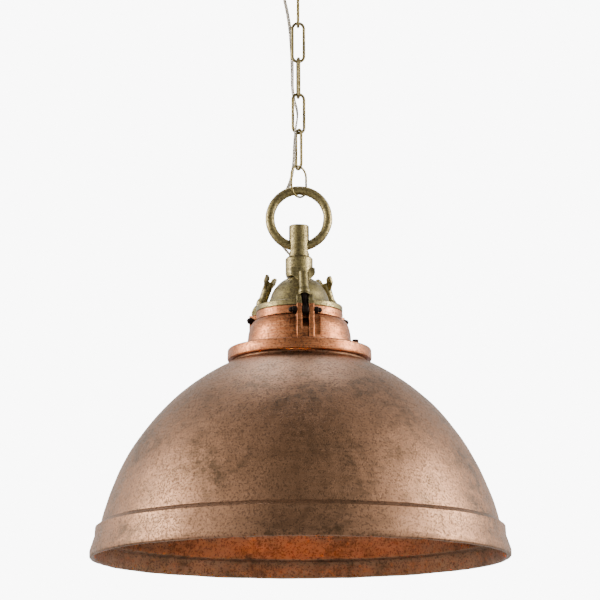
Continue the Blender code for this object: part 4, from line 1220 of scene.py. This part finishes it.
    def ear(self, latch: Latch, hand: int) -> Mesh:
        """One ear of a lug, rounded over its top both ways."""
        width = (latch.fork_width - latch.slot_width) / 2
        middle = hand * (latch.slot_width + width) / 2
        radius = latch.seat_radius
        face, root = latch.outward(self.lug_face), latch.outward(self.lug_root)
        bottom = latch.above(self.cap_bottom)
        start, end = math.acos((face + 0.0048) / radius), math.acos(root / radius)
        outline = [(face, bottom), (face, radius * 0.66), (face + 0.0022, radius * 0.85)]
        outline += arc((0.0, 0.0), radius, start, end, 8) + [(root, bottom)]
        slab = plate(outline, width, middle)
        crest = [
            e for e in slab.edges
            if min(v.co.z for v in e.verts) > bottom + 0.004
            and abs(e.verts[0].co.x - e.verts[1].co.x) < 1e-6
        ]
        return moved(round_edges(slab, crest, 0.0021, 4), latch.frame)

    def make_cap(self, maker: Maker) -> None:
        """Cast the dome and flange, with a pair of ears and a notch at each latch."""
        inner = self.dome_radius - self.dome_wall
        corners = [
            (inner, at(self.cap_bottom), 0.0006), (self.flange_radius, at(self.cap_bottom), 0.0008),
            (self.flange_radius, at(self.flange_top), 0.0016),
            (0.0452, at(self.flange_top + 0.0008), 0.0040),
            (0.0402, at(self.flange_top + 0.0042), 0.0040),
        ]
        centre, steps = (0.0, at(self.dome_centre)), 26
        high = math.acos(self.dome_hole / self.dome_radius)
        corners += sharp(arc(centre, self.dome_radius, math.radians(13), high, steps))
        corners += sharp(arc(centre, inner, math.acos(self.dome_hole / inner), 0.0, steps))
        bm = turned(corners, 144, closed=True)
        skirt = at(self.flange_top + 0.004)
        ripple(bm, 0.0003, 0.014, lambda place: 1.0 if place.z > skirt else 0.1)
        ears = [self.ear(latch, hand) for latch in self.latches for hand in (-1, 1)]
        notches = []
        for latch in self.latches:
            half = latch.slot_width / 2 - 0.00005
            low = (-half, latch.outward(self.cut_reach), latch.above(self.cap_bottom - 0.002))
            high = (half, latch.outward(self.notch_radius), latch.above(0.3400))
            notches.append(moved(block(low, high), latch.frame))
        maker.piece("cap_casting", carve(bm, ears, notches), Finish.BRASS, "lamp", ["cap"])

    def make_stem(self, maker: Maker) -> None:
        """Turn the stem and bore the flared hole that the ring passes through."""
        low, high = self.stem_collar
        wide, slim = self.stem_collar_radius, self.stem_radius
        corners = [
            (0.0, at(0.3600), 0.0), (0.0079, at(0.3600), 0.0), (0.0079, at(low - 0.0010), 0.0),
            (wide - 0.0012, at(low - 0.0014), 0.0008), (wide, at(low + 0.0030), 0.0012),
            (wide, at(high - 0.0024), 0.0006), (wide - 0.0024, at(high), 0.0004),
            (slim, at(high), 0.0006), (slim - 0.0002, at(self.stem_top), 0.0013),
            (0.0, at(self.stem_top), 0.0),
        ]
        stem = turned(corners, 96)
        ripple(stem, 0.00025, 0.012, lambda place: 1.0 if place.xy.length > 0.010 else 0.0)
        inner = self.ring_radius - self.ring_wire
        reach = slim + 0.003
        steps = 8
        outline = [(0.0, -reach)]
        for i in range(-steps, steps + 1):
            across = reach * i / steps
            rise = self.ring_radius - math.sqrt(inner**2 - across**2)
            outline.append((rise + 3 * CHEEK_GAP, across))
        outline.append((0.0, reach))
        hole = moved(lathe(outline, closed=False, steps=40), Matrix.Rotation(math.pi / 2, 4, "Y"))
        lift = Matrix.Translation((0, 0, at(self.ring_centre - self.ring_radius) - CHEEK_GAP))
        bored = carve(stem, cut=[moved(hole, lift)])
        maker.piece("stem_turned", bored, Finish.BRASS, "lamp", ["stem"])

    def build(self, maker: Maker) -> None:
        """Make the neck, the cap and the stem."""
        self.make_neck(maker)
        self.make_cap(maker)
        self.make_stem(maker)
        maker.dress(Finish.STEEL, "neck_screw_1", "neck_screw_2", "neck_screw_3", "stem_locknut")


@dataclass
class LampSet:
    """The porcelain holder and the frosted lamp that is lit in it."""

    holder_radius: float = 0.0210
    holder_bottom: float = 0.2860
    holder_top: float = 0.3360
    socket_radius: float = 0.0143
    socket_roof: float = 0.3250
    globe_radius: float = 0.0300
    globe_centre: float = 0.2350
    glass_neck: float = 0.0120
    wall: float = 0.0008

    def make_holder(self, maker: Maker) -> None:
        """Slip-cast the holder, with a rounded lip and a stepped shoulder."""
        r, low, high = self.holder_radius, self.holder_bottom, self.holder_top
        corners = [
            (0.0, at(self.socket_roof), 0.0), (self.socket_radius, at(self.socket_roof), 0.0010),
            (self.socket_radius, at(low), 0.0012), (r, at(low), 0.0022),
            (r, at(low + 0.0120), 0.0006), (r - 0.0010, at(low + 0.0126), 0.0006),
            (r - 0.0010, at(high - 0.0100), 0.0030), (0.0120, at(high), 0.0020),
            (0.0051, at(high), 0.0006), (0.0051, at(high - 0.0065), 0.0),
            (0.0, at(high - 0.0065), 0.0),
        ]
        bm = turned(corners, 72)
        maker.piece("holder_porcelain", bm, Finish.PORCELAIN, "lamp", ["lamp_holder"])

    def glass_line(self, radius: float, neck: float) -> list[Corner]:
        """The glass from its neck down to the bottom of its globe."""
        corners = [(neck, at(0.2915), 0.0), (neck, at(0.2830), 0.0100)]
        corners.append((neck + 0.0035, at(0.2700), 0.0120))
        centre = (0.0, at(self.globe_centre))
        return corners + sharp(arc(centre, radius, math.radians(35), math.radians(-90), 22))

    def make_glass(self, maker: Maker) -> None:
        """Blow the globe as a thin shell."""
        radius, neck = self.globe_radius, self.glass_neck
        outer = soften(self.glass_line(radius, neck), closed=False)
        inner = soften(self.glass_line(radius - self.wall, neck - self.wall), closed=False)
        outline = outer[:-1] + [(0.0, outer[-1][1]), (0.0, inner[-1][1])] + inner[-2::-1]
        bm = lathe(outline + [outline[0]], closed=False, steps=72)
        maker.piece("lamp_glass_blown", bm, Finish.GLASS, "lamp", ["lamp_glass"], 60)

    def make_cap(self, maker: Maker) -> None:
        """Roll the lamp's cap with its round-bottomed thread."""
        crest, root = 0.0130, 0.0122
        corners = [(0.0, at(0.2918), 0.0), (crest - 0.0004, at(0.2918), 0.0004)]
        pitch = 0.0036
        for turn in range(5):
            z = at(0.2936) + turn * pitch
            corners += [(crest, z, 0.0008), (root, z + pitch / 2, 0.0008)]
        corners += [(0.0090, at(0.3145), 0.0008), (0.0, at(0.3145), 0.0)]
        bm = turned(corners, 64)
        maker.piece("lamp_cap_rolled", bm, Finish.NICKEL, "lamp", ["lamp_cap"], 50)

    def build(self, maker: Maker) -> None:
        """Make the holder and the lamp."""
        self.make_holder(maker)
        self.make_glass(maker)
        self.make_cap(maker)
        maker.dress(Finish.NICKEL, "screw_shell", "centre_contact")
        maker.dress(Finish.STEEL, "holder_nipple")
        maker.dress(Finish.PLASTIC, "lamp_contact")


@dataclass
class Suspension:
    """The ring, the thin oval link and the five long chain links."""

    ring_centre: float = RING_CENTRE
    ring_radius: float = RING_RADIUS
    ring_wire: float = RING_WIRE
    oval_wire: float = 0.0015
    oval_size: tuple[float, float] = (0.0445, 0.0300)
    oval_turn: float = 45.0
    link_wire: float = 0.0020
    link_size: tuple[float, float] = (0.0570, 0.0190)
    link_turns: tuple[float, ...] = (90.0, 0.0, 98.0, 12.0, 117.0)

    def make_ring(self, maker: Maker) -> None:
        """Cast the heavy ring."""
        bm = torus(self.ring_radius, self.ring_wire - 0.0001, 128, 28)
        bm = moved(bm, Matrix.Translation((0, 0, at(self.ring_centre))))
        ripple(bm, 0.00035, 0.011, lambda place: 1.0 if abs(place.x) > 0.017 else 0.15)
        maker.piece("ring_cast", bm, Finish.BRASS, "ring", ["suspension_ring"])

    def wire_link(self, size: tuple[float, float], wire: float, sides: int, steps: int) -> Mesh:
        """Bend a wire link whose ends butt together halfway up one leg.

        Args:
            size: outer length and width.
            wire: wire radius.
            sides: facets round the wire.
            steps: facets in each bend.

        Returns:
            The link about Y, its middle at the origin.
        """
        length, width = size
        bend = width / 2 - wire
        straight = (length - width) / 2
        bm = bmesh.new()
        cropped = 0.78
        ring = bmesh.ops.create_circle(bm, radius=wire * cropped, segments=sides)["verts"]
        bmesh.ops.translate(bm, vec=(bend, 0, 0), verts=ring)
        edges = list(bm.edges)

        def grow(rings: list[Edge], rise: float, scale: float) -> list[Edge]:
            """Extrude the wire's end by a rise and scale it about its own middle."""
            grown = bmesh.ops.extrude_edge_only(bm, edges=rings)["geom"]
            verts = [g for g in grown if isinstance(g, bmesh.types.BMVert)]
            bmesh.ops.translate(bm, vec=(0, 0, rise), verts=verts)
            middle = sum((v.co for v in verts), Vector()) / len(verts)
            about = Matrix.Translation(middle) @ Matrix.Diagonal((scale, scale, 1, 1))
            bmesh.ops.transform(bm, matrix=about @ Matrix.Translation(-middle), verts=verts)
            return [g for g in grown if isinstance(g, Edge)]

        def bend_over(rings: list[Edge], centre: float) -> list[Edge]:
            """Take the wire half way round a bend."""
            around = {v for e in rings for v in e.verts}
            spun = bmesh.ops.spin(
                bm, geom=list(around) + rings, axis=(0, -1, 0), cent=(0, 0, centre),
                angle=math.pi, steps=steps, use_merge=False,
            )["geom_last"]
            return [g for g in spun if isinstance(g, Edge)]

        chamfer = 0.0004
        edges = grow(edges, chamfer, 1 / cropped)
        edges = grow(edges, straight - chamfer, 1.0)
        edges = bend_over(edges, straight)
        edges = grow(edges, -2 * straight, 1.0)
        edges = bend_over(edges, -straight)
        edges = grow(edges, straight - chamfer, 1.0)
        grow(edges, chamfer, cropped)
        return tidy(bm)

    def hang(self, node: str) -> Vector:
        """The middle of a CAD link, read from its box."""
        low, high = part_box(node)
        return (low + high) / 2

    def make_links(self, maker: Maker) -> None:
        """Bend every link and hang it where its node hangs."""
        long = (self.link_size, self.link_wire, 20, 16)
        thin = (self.oval_size, self.oval_wire, 16, 20)
        hung = [
            (f"chain_link_{number}", f"link_{number}", turn, long)
            for number, turn in enumerate(self.link_turns, 1)
        ]
        for node, body, turn, shape in [*hung, ("oval_link", "oval", self.oval_turn, thin)]:
            size, wire, sides, steps = shape
            bm = self.wire_link(size, wire - 0.00003, sides, steps)
            place = Matrix.Translation(self.hang(node))
            place @= Matrix.Rotation(math.radians(turn), 4, "Z")
            maker.piece(f"{node}_bent", moved(bm, place), Finish.BRASS, body, [node], 50)

    def build(self, maker: Maker) -> None:
        """Make the ring and the links."""
        self.make_ring(maker)
        self.make_links(maker)


@dataclass
class Canopy:
    """The dish on the ceiling, its screw collar and the loop that carries the chain."""

    radius: float = 0.0650
    flat: float = 0.0340
    floor: float = 0.7905
    wall: float = 0.0015
    ceiling: float = 0.8180
    barrel_radius: float = 0.0090
    collar_radius: float = 0.0160
    loop_radius: float = 0.0115
    loop_wire: float = 0.0025
    cord_hole: float = 0.0051
    cord_place: tuple[float, float] = (-0.0240, 0.0)

    def make_dish(self, maker: Maker) -> None:
        """Spin the dish with its quarter-round flank and turned-in rim."""
        depth = self.ceiling - self.floor
        hole = self.barrel_radius + CHEEK_GAP
        steps = 20
        outer, inner = [], []
        for i in range(steps + 1):
            a = math.pi / 2 * i / steps
            reach = self.radius - self.flat
            r, h = self.flat + reach * math.sin(a), self.ceiling - depth * math.cos(a)
            outer.append((r, at(h), 0.0))
            inner.append((r - self.wall * math.sin(a), at(h) + self.wall * math.cos(a), 0.0))
        corners = [(hole, at(self.floor), 0.0003)] + outer + list(reversed(inner))
        corners.append((hole, at(self.floor) + self.wall, 0.0003))
        bm = turned(corners, 128, closed=True)
        x, y = self.cord_place
        floor = at(self.floor)
        cutter = barrel(self.cord_hole, (x, y, floor - 0.003), (x, y, floor + 0.006))
        dish = carve(bm, cut=[cutter])
        maker.piece("canopy_spun", dish, Finish.BRASS, "canopy_set", ["canopy"])

    def make_collar(self, maker: Maker) -> None:
        """Turn the screw collar and cut its grip grooves."""
        top, low = self.floor - CHEEK_GAP, self.floor - 0.0080
        hole = self.barrel_radius + CHEEK_GAP
        corners = [
            (hole, at(top), 0.0003), (hole, at(low), 0.0005), (0.0128, at(low), 0.0012),
            (self.collar_radius, at(low + 0.0024), 0.0012), (self.collar_radius, at(top), 0.0005),
        ]
        bm = turned(corners, 96, closed=True)
        grooves = []
        for i in range(24):
            ends = [
                polar(15.0 * i, self.collar_radius + 0.0003, at(height))
                for height in (low - 0.001, top + 0.001)
            ]
            grooves.append(barrel(0.0007, *ends, 8))
        collar = carve(bm, cut=grooves)
        maker.piece("canopy_collar_gripped", collar, Finish.BRASS, "canopy_set", ["canopy_collar"])

    def make_loop(self, maker: Maker) -> None:
        """Cast the loop and its barrel as one piece."""
        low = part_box("canopy_loop")[0].z
        middle = low + self.loop_radius + self.loop_wire
        shoulder = middle + self.loop_radius
        floor, slim = at(self.floor), self.barrel_radius - 0.00005
        corners = [
            (0.0, shoulder - 0.0022, 0.0), (0.0072, shoulder - 0.0014, 0.0020),
            (slim, shoulder + 0.0024, 0.0012), (slim, floor + 0.0080, 0.0006),
            (0.0, floor + 0.0080, 0.0),
        ]
        body = turned(corners, 56)
        ring = torus(self.loop_radius, self.loop_wire, 56, 18)
        ring = moved(ring, Matrix.Translation((0, 0, middle)))
        bore = barrel(0.0051, (0, 0, floor + 0.0030), (0, 0, floor + 0.0100))
        loop = carve(body, [ring], [bore])
        maker.piece("canopy_loop_cast", loop, Finish.BRASS, "canopy_set", ["canopy_loop"])

    def build(self, maker: Maker) -> None:
        """Make the canopy's brass, and dress what it hides."""
        self.make_dish(maker)
        self.make_collar(maker)
        self.make_loop(maker)
        maker.dress(Finish.STEEL, "ceiling_strap", "strap_nut", "canopy_nipple")
        maker.dress(Finish.PLASTIC, "terminal_block", "canopy_grommet")


@dataclass
class SupplyCord:
    """The clear twin cord, woven down beside the chain into the back of the cap.

    It is made whole, then parted halfway along each link, so that each length crosses one joint.
    """

    lobe: float = 0.00120
    spread: float = 0.00112
    wire: float = 0.00062
    exit_lean: float = math.radians(40.0)
    bend_reach: float = 0.0240
    dome_centre: float = DOME_CENTRE
    dome_radius: float = DOME_RADIUS
    route: tuple[Corner, ...] = (
        (-0.0240, 0.0000, 0.8015),
        (-0.0240, 0.0000, 0.7880),
        (-0.0230, 0.0002, 0.7700),
        (-0.0190, 0.0016, 0.7480),
        (-0.0145, 0.0044, 0.7270),
        (-0.0112, 0.0068, 0.7060),
        (-0.0094, 0.0074, 0.6850),
        (-0.0084, 0.0068, 0.6640),
        (-0.0080, 0.0056, 0.6420),
        (-0.0078, 0.0062, 0.6230),
        (-0.0056, 0.0070, 0.6060),
        (-0.0022, 0.0030, 0.5920),
        (-0.0016, -0.0040, 0.5780),
        (-0.0042, -0.0062, 0.5600),
        (-0.0058, -0.0036, 0.5400),
        (-0.0066, -0.0004, 0.5200),
        (-0.0092, 0.0042, 0.5020),
        (-0.0140, 0.0086, 0.4880),
        (-0.0215, 0.0100, 0.4750),
        (-0.0300, 0.0102, 0.4660),
        (-0.0362, 0.0104, 0.4530),
        (-0.0372, 0.0108, 0.4390),
        (-0.0330, 0.0120, 0.4260),
        (-0.0250, 0.0152, 0.4150),
        (-0.0168, 0.0220, 0.4062),
        (-0.0092, 0.0310, 0.3985),
        (-0.0036, 0.0388, 0.3890),
        (-0.0006, 0.0400, 0.3788),
        (0.0000, 0.03471, 0.36937),
        (0.0000, 0.03021, 0.36400),
        (0.0000, 0.02571, 0.35864),
        (0.0000, 0.02121, 0.35328),
        (0.0000, 0.0172, 0.3474),
        (0.0000, 0.0150, 0.3378),
    )
    bodies: tuple[str, ...] = (
        "canopy_set", "link_1", "link_2", "link_3", "link_4", "link_5", "oval", "ring", "lamp",
    )

    def path(self, steps: int = 5) -> list[Vector]:
        """Points along a smooth curve through the route."""
        points = [Vector((x, y, at(h))) for x, y, h in self.route]
        smooth = []
        for i in range(len(points) - 1):
            p0, p1, p2 = points[max(i - 1, 0)], points[i], points[i + 1]
            p3 = points[min(i + 2, len(points) - 1)]
            for step in range(steps):
                t = step / steps
                curved = 2 * p1 + (p2 - p0) * t + (2 * p0 - 5 * p1 + 4 * p2 - p3) * t**2
                smooth.append((curved + (3 * p1 - p0 - 3 * p2 + p3) * t**3) / 2)
        return smooth + [points[-1]]

    def section(self, name: str, shapes: Sequence[Sequence[Point]]) -> Object:
        """A flat curve of closed shapes to sweep along the route."""
        curve = bpy.data.curves.new(name, "CURVE")
        curve.dimensions = "2D"
        for shape in shapes:
            spline = curve.splines.new("POLY")
            spline.points.add(len(shape) - 1)
            for point, (x, y) in zip(spline.points, shape):
                point.co = (x, y, 0.0, 1.0)
            spline.use_cyclic_u = True
        return place_object(name, curve)

    def sweep(self, name: str, shapes: Sequence[Sequence[Point]]) -> Mesh:
        """Sweep closed shapes along the whole route, with a slow twist.

        Args:
            name: a name for the curve while it is made.
            shapes: closed outlines in the cord's own cross-section.

        Returns:
            The swept mesh, capped at both ends.
        """
        profile = self.section(name + "_section", shapes)
        curve = bpy.data.curves.new(name, "CURVE")
        curve.dimensions = "3D"
        curve.bevel_mode = "OBJECT"
        curve.bevel_object = profile
        curve.use_fill_caps = True
        path = self.path()
        spline = curve.splines.new("POLY")
        spline.points.add(len(path) - 1)
        for number, (point, place) in enumerate(zip(spline.points, path)):
            point.co = (*place, 1.0)
            point.tilt = math.radians(20) + math.tau * 1.25 * number / len(path)
        made = place_object(name, curve)
        bpy.context.view_layer.update()
        bm = bmesh.new()
        swept = made.evaluated_get(bpy.context.evaluated_depsgraph_get()).to_mesh()
        bm.from_mesh(swept)
        bpy.data.curves.remove(curve)
        bpy.data.curves.remove(profile.data)
        return tidy(bm)

    def jacket(self) -> list[Point]:
        """The twin-lobed outline of the vinyl: two arcs that meet in a shallow valley."""
        valley = math.acos(self.spread / self.lobe * 0.86)
        outline = []
        for centre, start in ((self.spread, -math.pi + valley), (-self.spread, valley)):
            end = start + math.tau - 2 * valley
            outline += arc((centre, 0.0), self.lobe, start, end, 14)
        return outline

    def joints(self) -> list[float]:
        """The Z of each joint that the cord crosses, from the canopy down."""
        names = {j["child"]: j for j in frame["joints"]}
        return [names[body]["pos_m"][2] for body in self.bodies[1:]]

    def part(self, whole: Mesh, high: float, low: float) -> Mesh:
        """A copy of the swept mesh between two levels, closed where it is cut."""
        bm = whole.copy()
        for level, keep in ((high, -1), (low, 1)):
            cut = bmesh.ops.bisect_plane(
                bm, geom=list(bm.verts) + list(bm.edges) + list(bm.faces), dist=1e-7,
                plane_co=(0, 0, level), plane_no=(0, 0, -keep), clear_outer=True,
            )["geom_cut"]
            ends = [g for g in cut if isinstance(g, Edge)]
            bmesh.ops.edgenet_fill(bm, edges=ends)
        return tidy(bm)

    def make_lengths(self, maker: Maker, name: str, whole: Mesh, finish: Finish) -> None:
        """Part a swept mesh into its lengths, one across each joint."""
        pivots = self.joints()
        middles = [(a + b) / 2 for a, b in zip(pivots, pivots[1:])]
        tops = [CAD_BOX[1].z + 0.01, *middles]
        bottoms = [*middles, CAD_BOX[0].z - 0.01]
        for number, (high, low) in enumerate(zip(tops, bottoms)):
            length = self.part(whole, high, low)
            piece = maker.piece(f"{name}_{number + 1}", length, finish, None, ["supply_cord"], 60)
            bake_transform(piece)
        whole.free()

    def make_gland(self, maker: Maker) -> None:
        """Mould the bush that leads the cord into the dome."""
        bore = 0.0027
        seat = self.dome_radius + CHEEK_GAP
        corners = [
            (bore, seat - 0.0075, 0.0), (0.0050, seat - 0.0075, 0.0), (0.0050, seat, 0.0),
            (0.0072, seat, 0.0004), (0.0072, seat + 0.0035, 0.0010),
            (0.0050, seat + 0.0050, 0.0010), (0.0042, seat + 0.0095, 0.0006),
            (bore, seat + 0.0095, 0.0004),
        ]
        bm = turned(corners, 48, closed=True)
        place = Matrix.Translation((0, 0, at(self.dome_centre)))
        place @= Matrix.Rotation(-self.exit_lean, 4, "X")
        maker.piece("cord_gland_moulded", moved(bm, place), Finish.PLASTIC, "lamp", ["cord_gland"])

    def build(self, maker: Maker) -> None:
        """Make the cord's vinyl, its two conductors and its gland."""
        vinyl = self.sweep("cord_vinyl", [self.jacket()])
        self.make_lengths(maker, "cord_vinyl", vinyl, Finish.VINYL)
        round_wires = [
            arc((x, 0.0), self.wire, 0.0, math.tau, 10)[:-1] for x in (-self.spread, self.spread)
        ]
        before = len(maker.made)
        strands = self.sweep("cord_strands", round_wires)
        self.make_lengths(maker, "cord_strands", strands, Finish.VINYL)
        tinned = StrandedWire().make()
        for piece in maker.made[before:]:
            piece.data.materials[0] = tinned
        self.make_gland(maker)


# --- Stage -------------------------------------------------------------------------------------


@dataclass
class Stage:
    """Pale floor far below the lamp, soft boxes either side and overhead, and the camera."""

    camera_distance: float = 3.2
    camera_height: float = -0.328
    camera_pitch: float = math.radians(11.71)
    camera_lens: float = 151.5
    camera_roll: float = 0.25
    floor_drop: float = 5.2

    def make_floor(self) -> None:
        """Lay the floor, with a faint plaster mottle."""
        bm = bmesh.new()
        bmesh.ops.create_grid(bm, x_segments=4, y_segments=4, size=30.0)
        bmesh.ops.translate(bm, vec=(0, 0, at(-self.floor_drop)), verts=bm.verts)
        floor = to_object(bm, "floor")
        material, shader = start_material("matt_plaster_floor", {"Roughness": 0.9})
        tree = material.node_tree
        inputs = {0: grain(tree, 700.0), 6: linear("f2f1ef"), 7: linear("eceae7")}
        feed(shader, {"Base Color": add_node(tree, "Mix", COLOUR, inputs).outputs[2]})
        floor.data.materials.append(material)

    def make_world(self) -> None:
        """Light the room: pale walls beside and behind the lamp, dim in front and overhead."""
        world = bpy.data.worlds.new("soft_room")
        bpy.context.scene.world = world
        world.use_nodes = True
        tree = world.node_tree
        tree.nodes.clear()
        where = add_node(tree, "TexCoord").outputs["Generated"]
        parts = add_node(tree, "SeparateXYZ", None, {0: where}).outputs
        sides = add_node(tree, "Math", {"operation": "ABSOLUTE"}, {0: parts["X"]})
        rear = add_node(tree, "Math", TIMES, {0: parts["Y"], 1: 0.62})
        wall = add_node(tree, "Math", LARGER, {0: sides, 1: rear})
        walls = add_node(tree, "MapRange", SMOOTH, {0: wall, 1: 0.10, 2: 0.85})
        inputs = {0: walls, 6: linear("76726d"), 7: linear("fbf9f6")}
        tone = add_node(tree, "Mix", COLOUR, inputs).outputs[2]
        room = add_node(tree, "Background", None, {"Color": tone, "Strength": 1.6})
        seen = add_node(tree, "Background", None, {"Color": linear("ffffff"), "Strength": 9.0})
        rays = add_node(tree, "LightPath").outputs["Is Camera Ray"]
        both = add_node(tree, "MixShader", None, {0: rays, 1: room, 2: seen})
        add_node(tree, "OutputWorld", None, {"Surface": both})

    def add_softbox(
        self, name: str, place: Sequence[float], size: tuple[float, float], power: float, tone: str
    ) -> None:
        """Hang a soft box that faces the lamp.

        Args:
            name: the light's name.
            place: where it hangs.
            size: its width and height.
            power: its power in watts.
            tone: its colour.
        """
        data = bpy.data.lights.new(name, "AREA")
        data.shape = "RECTANGLE"
        data.size, data.size_y = size
        data.energy = power
        data.color = linear(tone)[:3]
        light = place_object(name, data)
        light.location = place
        aim = Vector((0, 0, at(0.15))) - light.location
        light.rotation_euler = aim.to_track_quat("-Z", "Y").to_euler()

    def make_camera(self) -> None:
        """Stand the camera in front of the lamp, a little under its rim, looking up."""
        data = bpy.data.cameras.new("camera")
        data.lens = self.camera_lens
        data.sensor_width = 36.0
        data.shift_x = -0.0025
        camera = place_object("camera", data)
        camera.location = (0.0, -self.camera_distance, at(self.camera_height))
        roll = math.radians(self.camera_roll)
        camera.rotation_euler = (math.pi / 2 + self.camera_pitch, roll, 0.0)
        bpy.context.scene.camera = camera

    def build(self) -> None:
        """Set the stage."""
        self.make_floor()
        self.make_world()
        self.add_softbox("left_softbox", (-2.3, -0.2, at(0.70)), (0.8, 1.5), 78.0, "fff6ee")
        self.add_softbox("right_softbox", (2.3, -0.1, at(0.70)), (0.8, 1.5), 95.0, "fff6ee")
        self.add_softbox("overhead_softbox", (-0.1, 0.9, at(2.0)), (0.9, 0.6), 20.0, "fffaf5")
        self.make_camera()


def main() -> None:
    """Build the lamp, sub-assembly by sub-assembly, and set the stage."""
    logging.basicConfig(level=logging.INFO, format="%(name)s: %(message)s")
    maker = Maker(make_palette())
    Stage().build()
    SupplyCord().build(maker)
    Shade().build(maker)
    latches = [Latch(side) for side in Side]
    Head(latches).build(maker)
    for latch in latches:
        latch.build(maker)
    LampSet().build(maker)
    Suspension().build(maker)
    Canopy().build(maker)
    LOG.info("%d pieces made", len(maker.made))


if __name__ == "__main__":
    main()
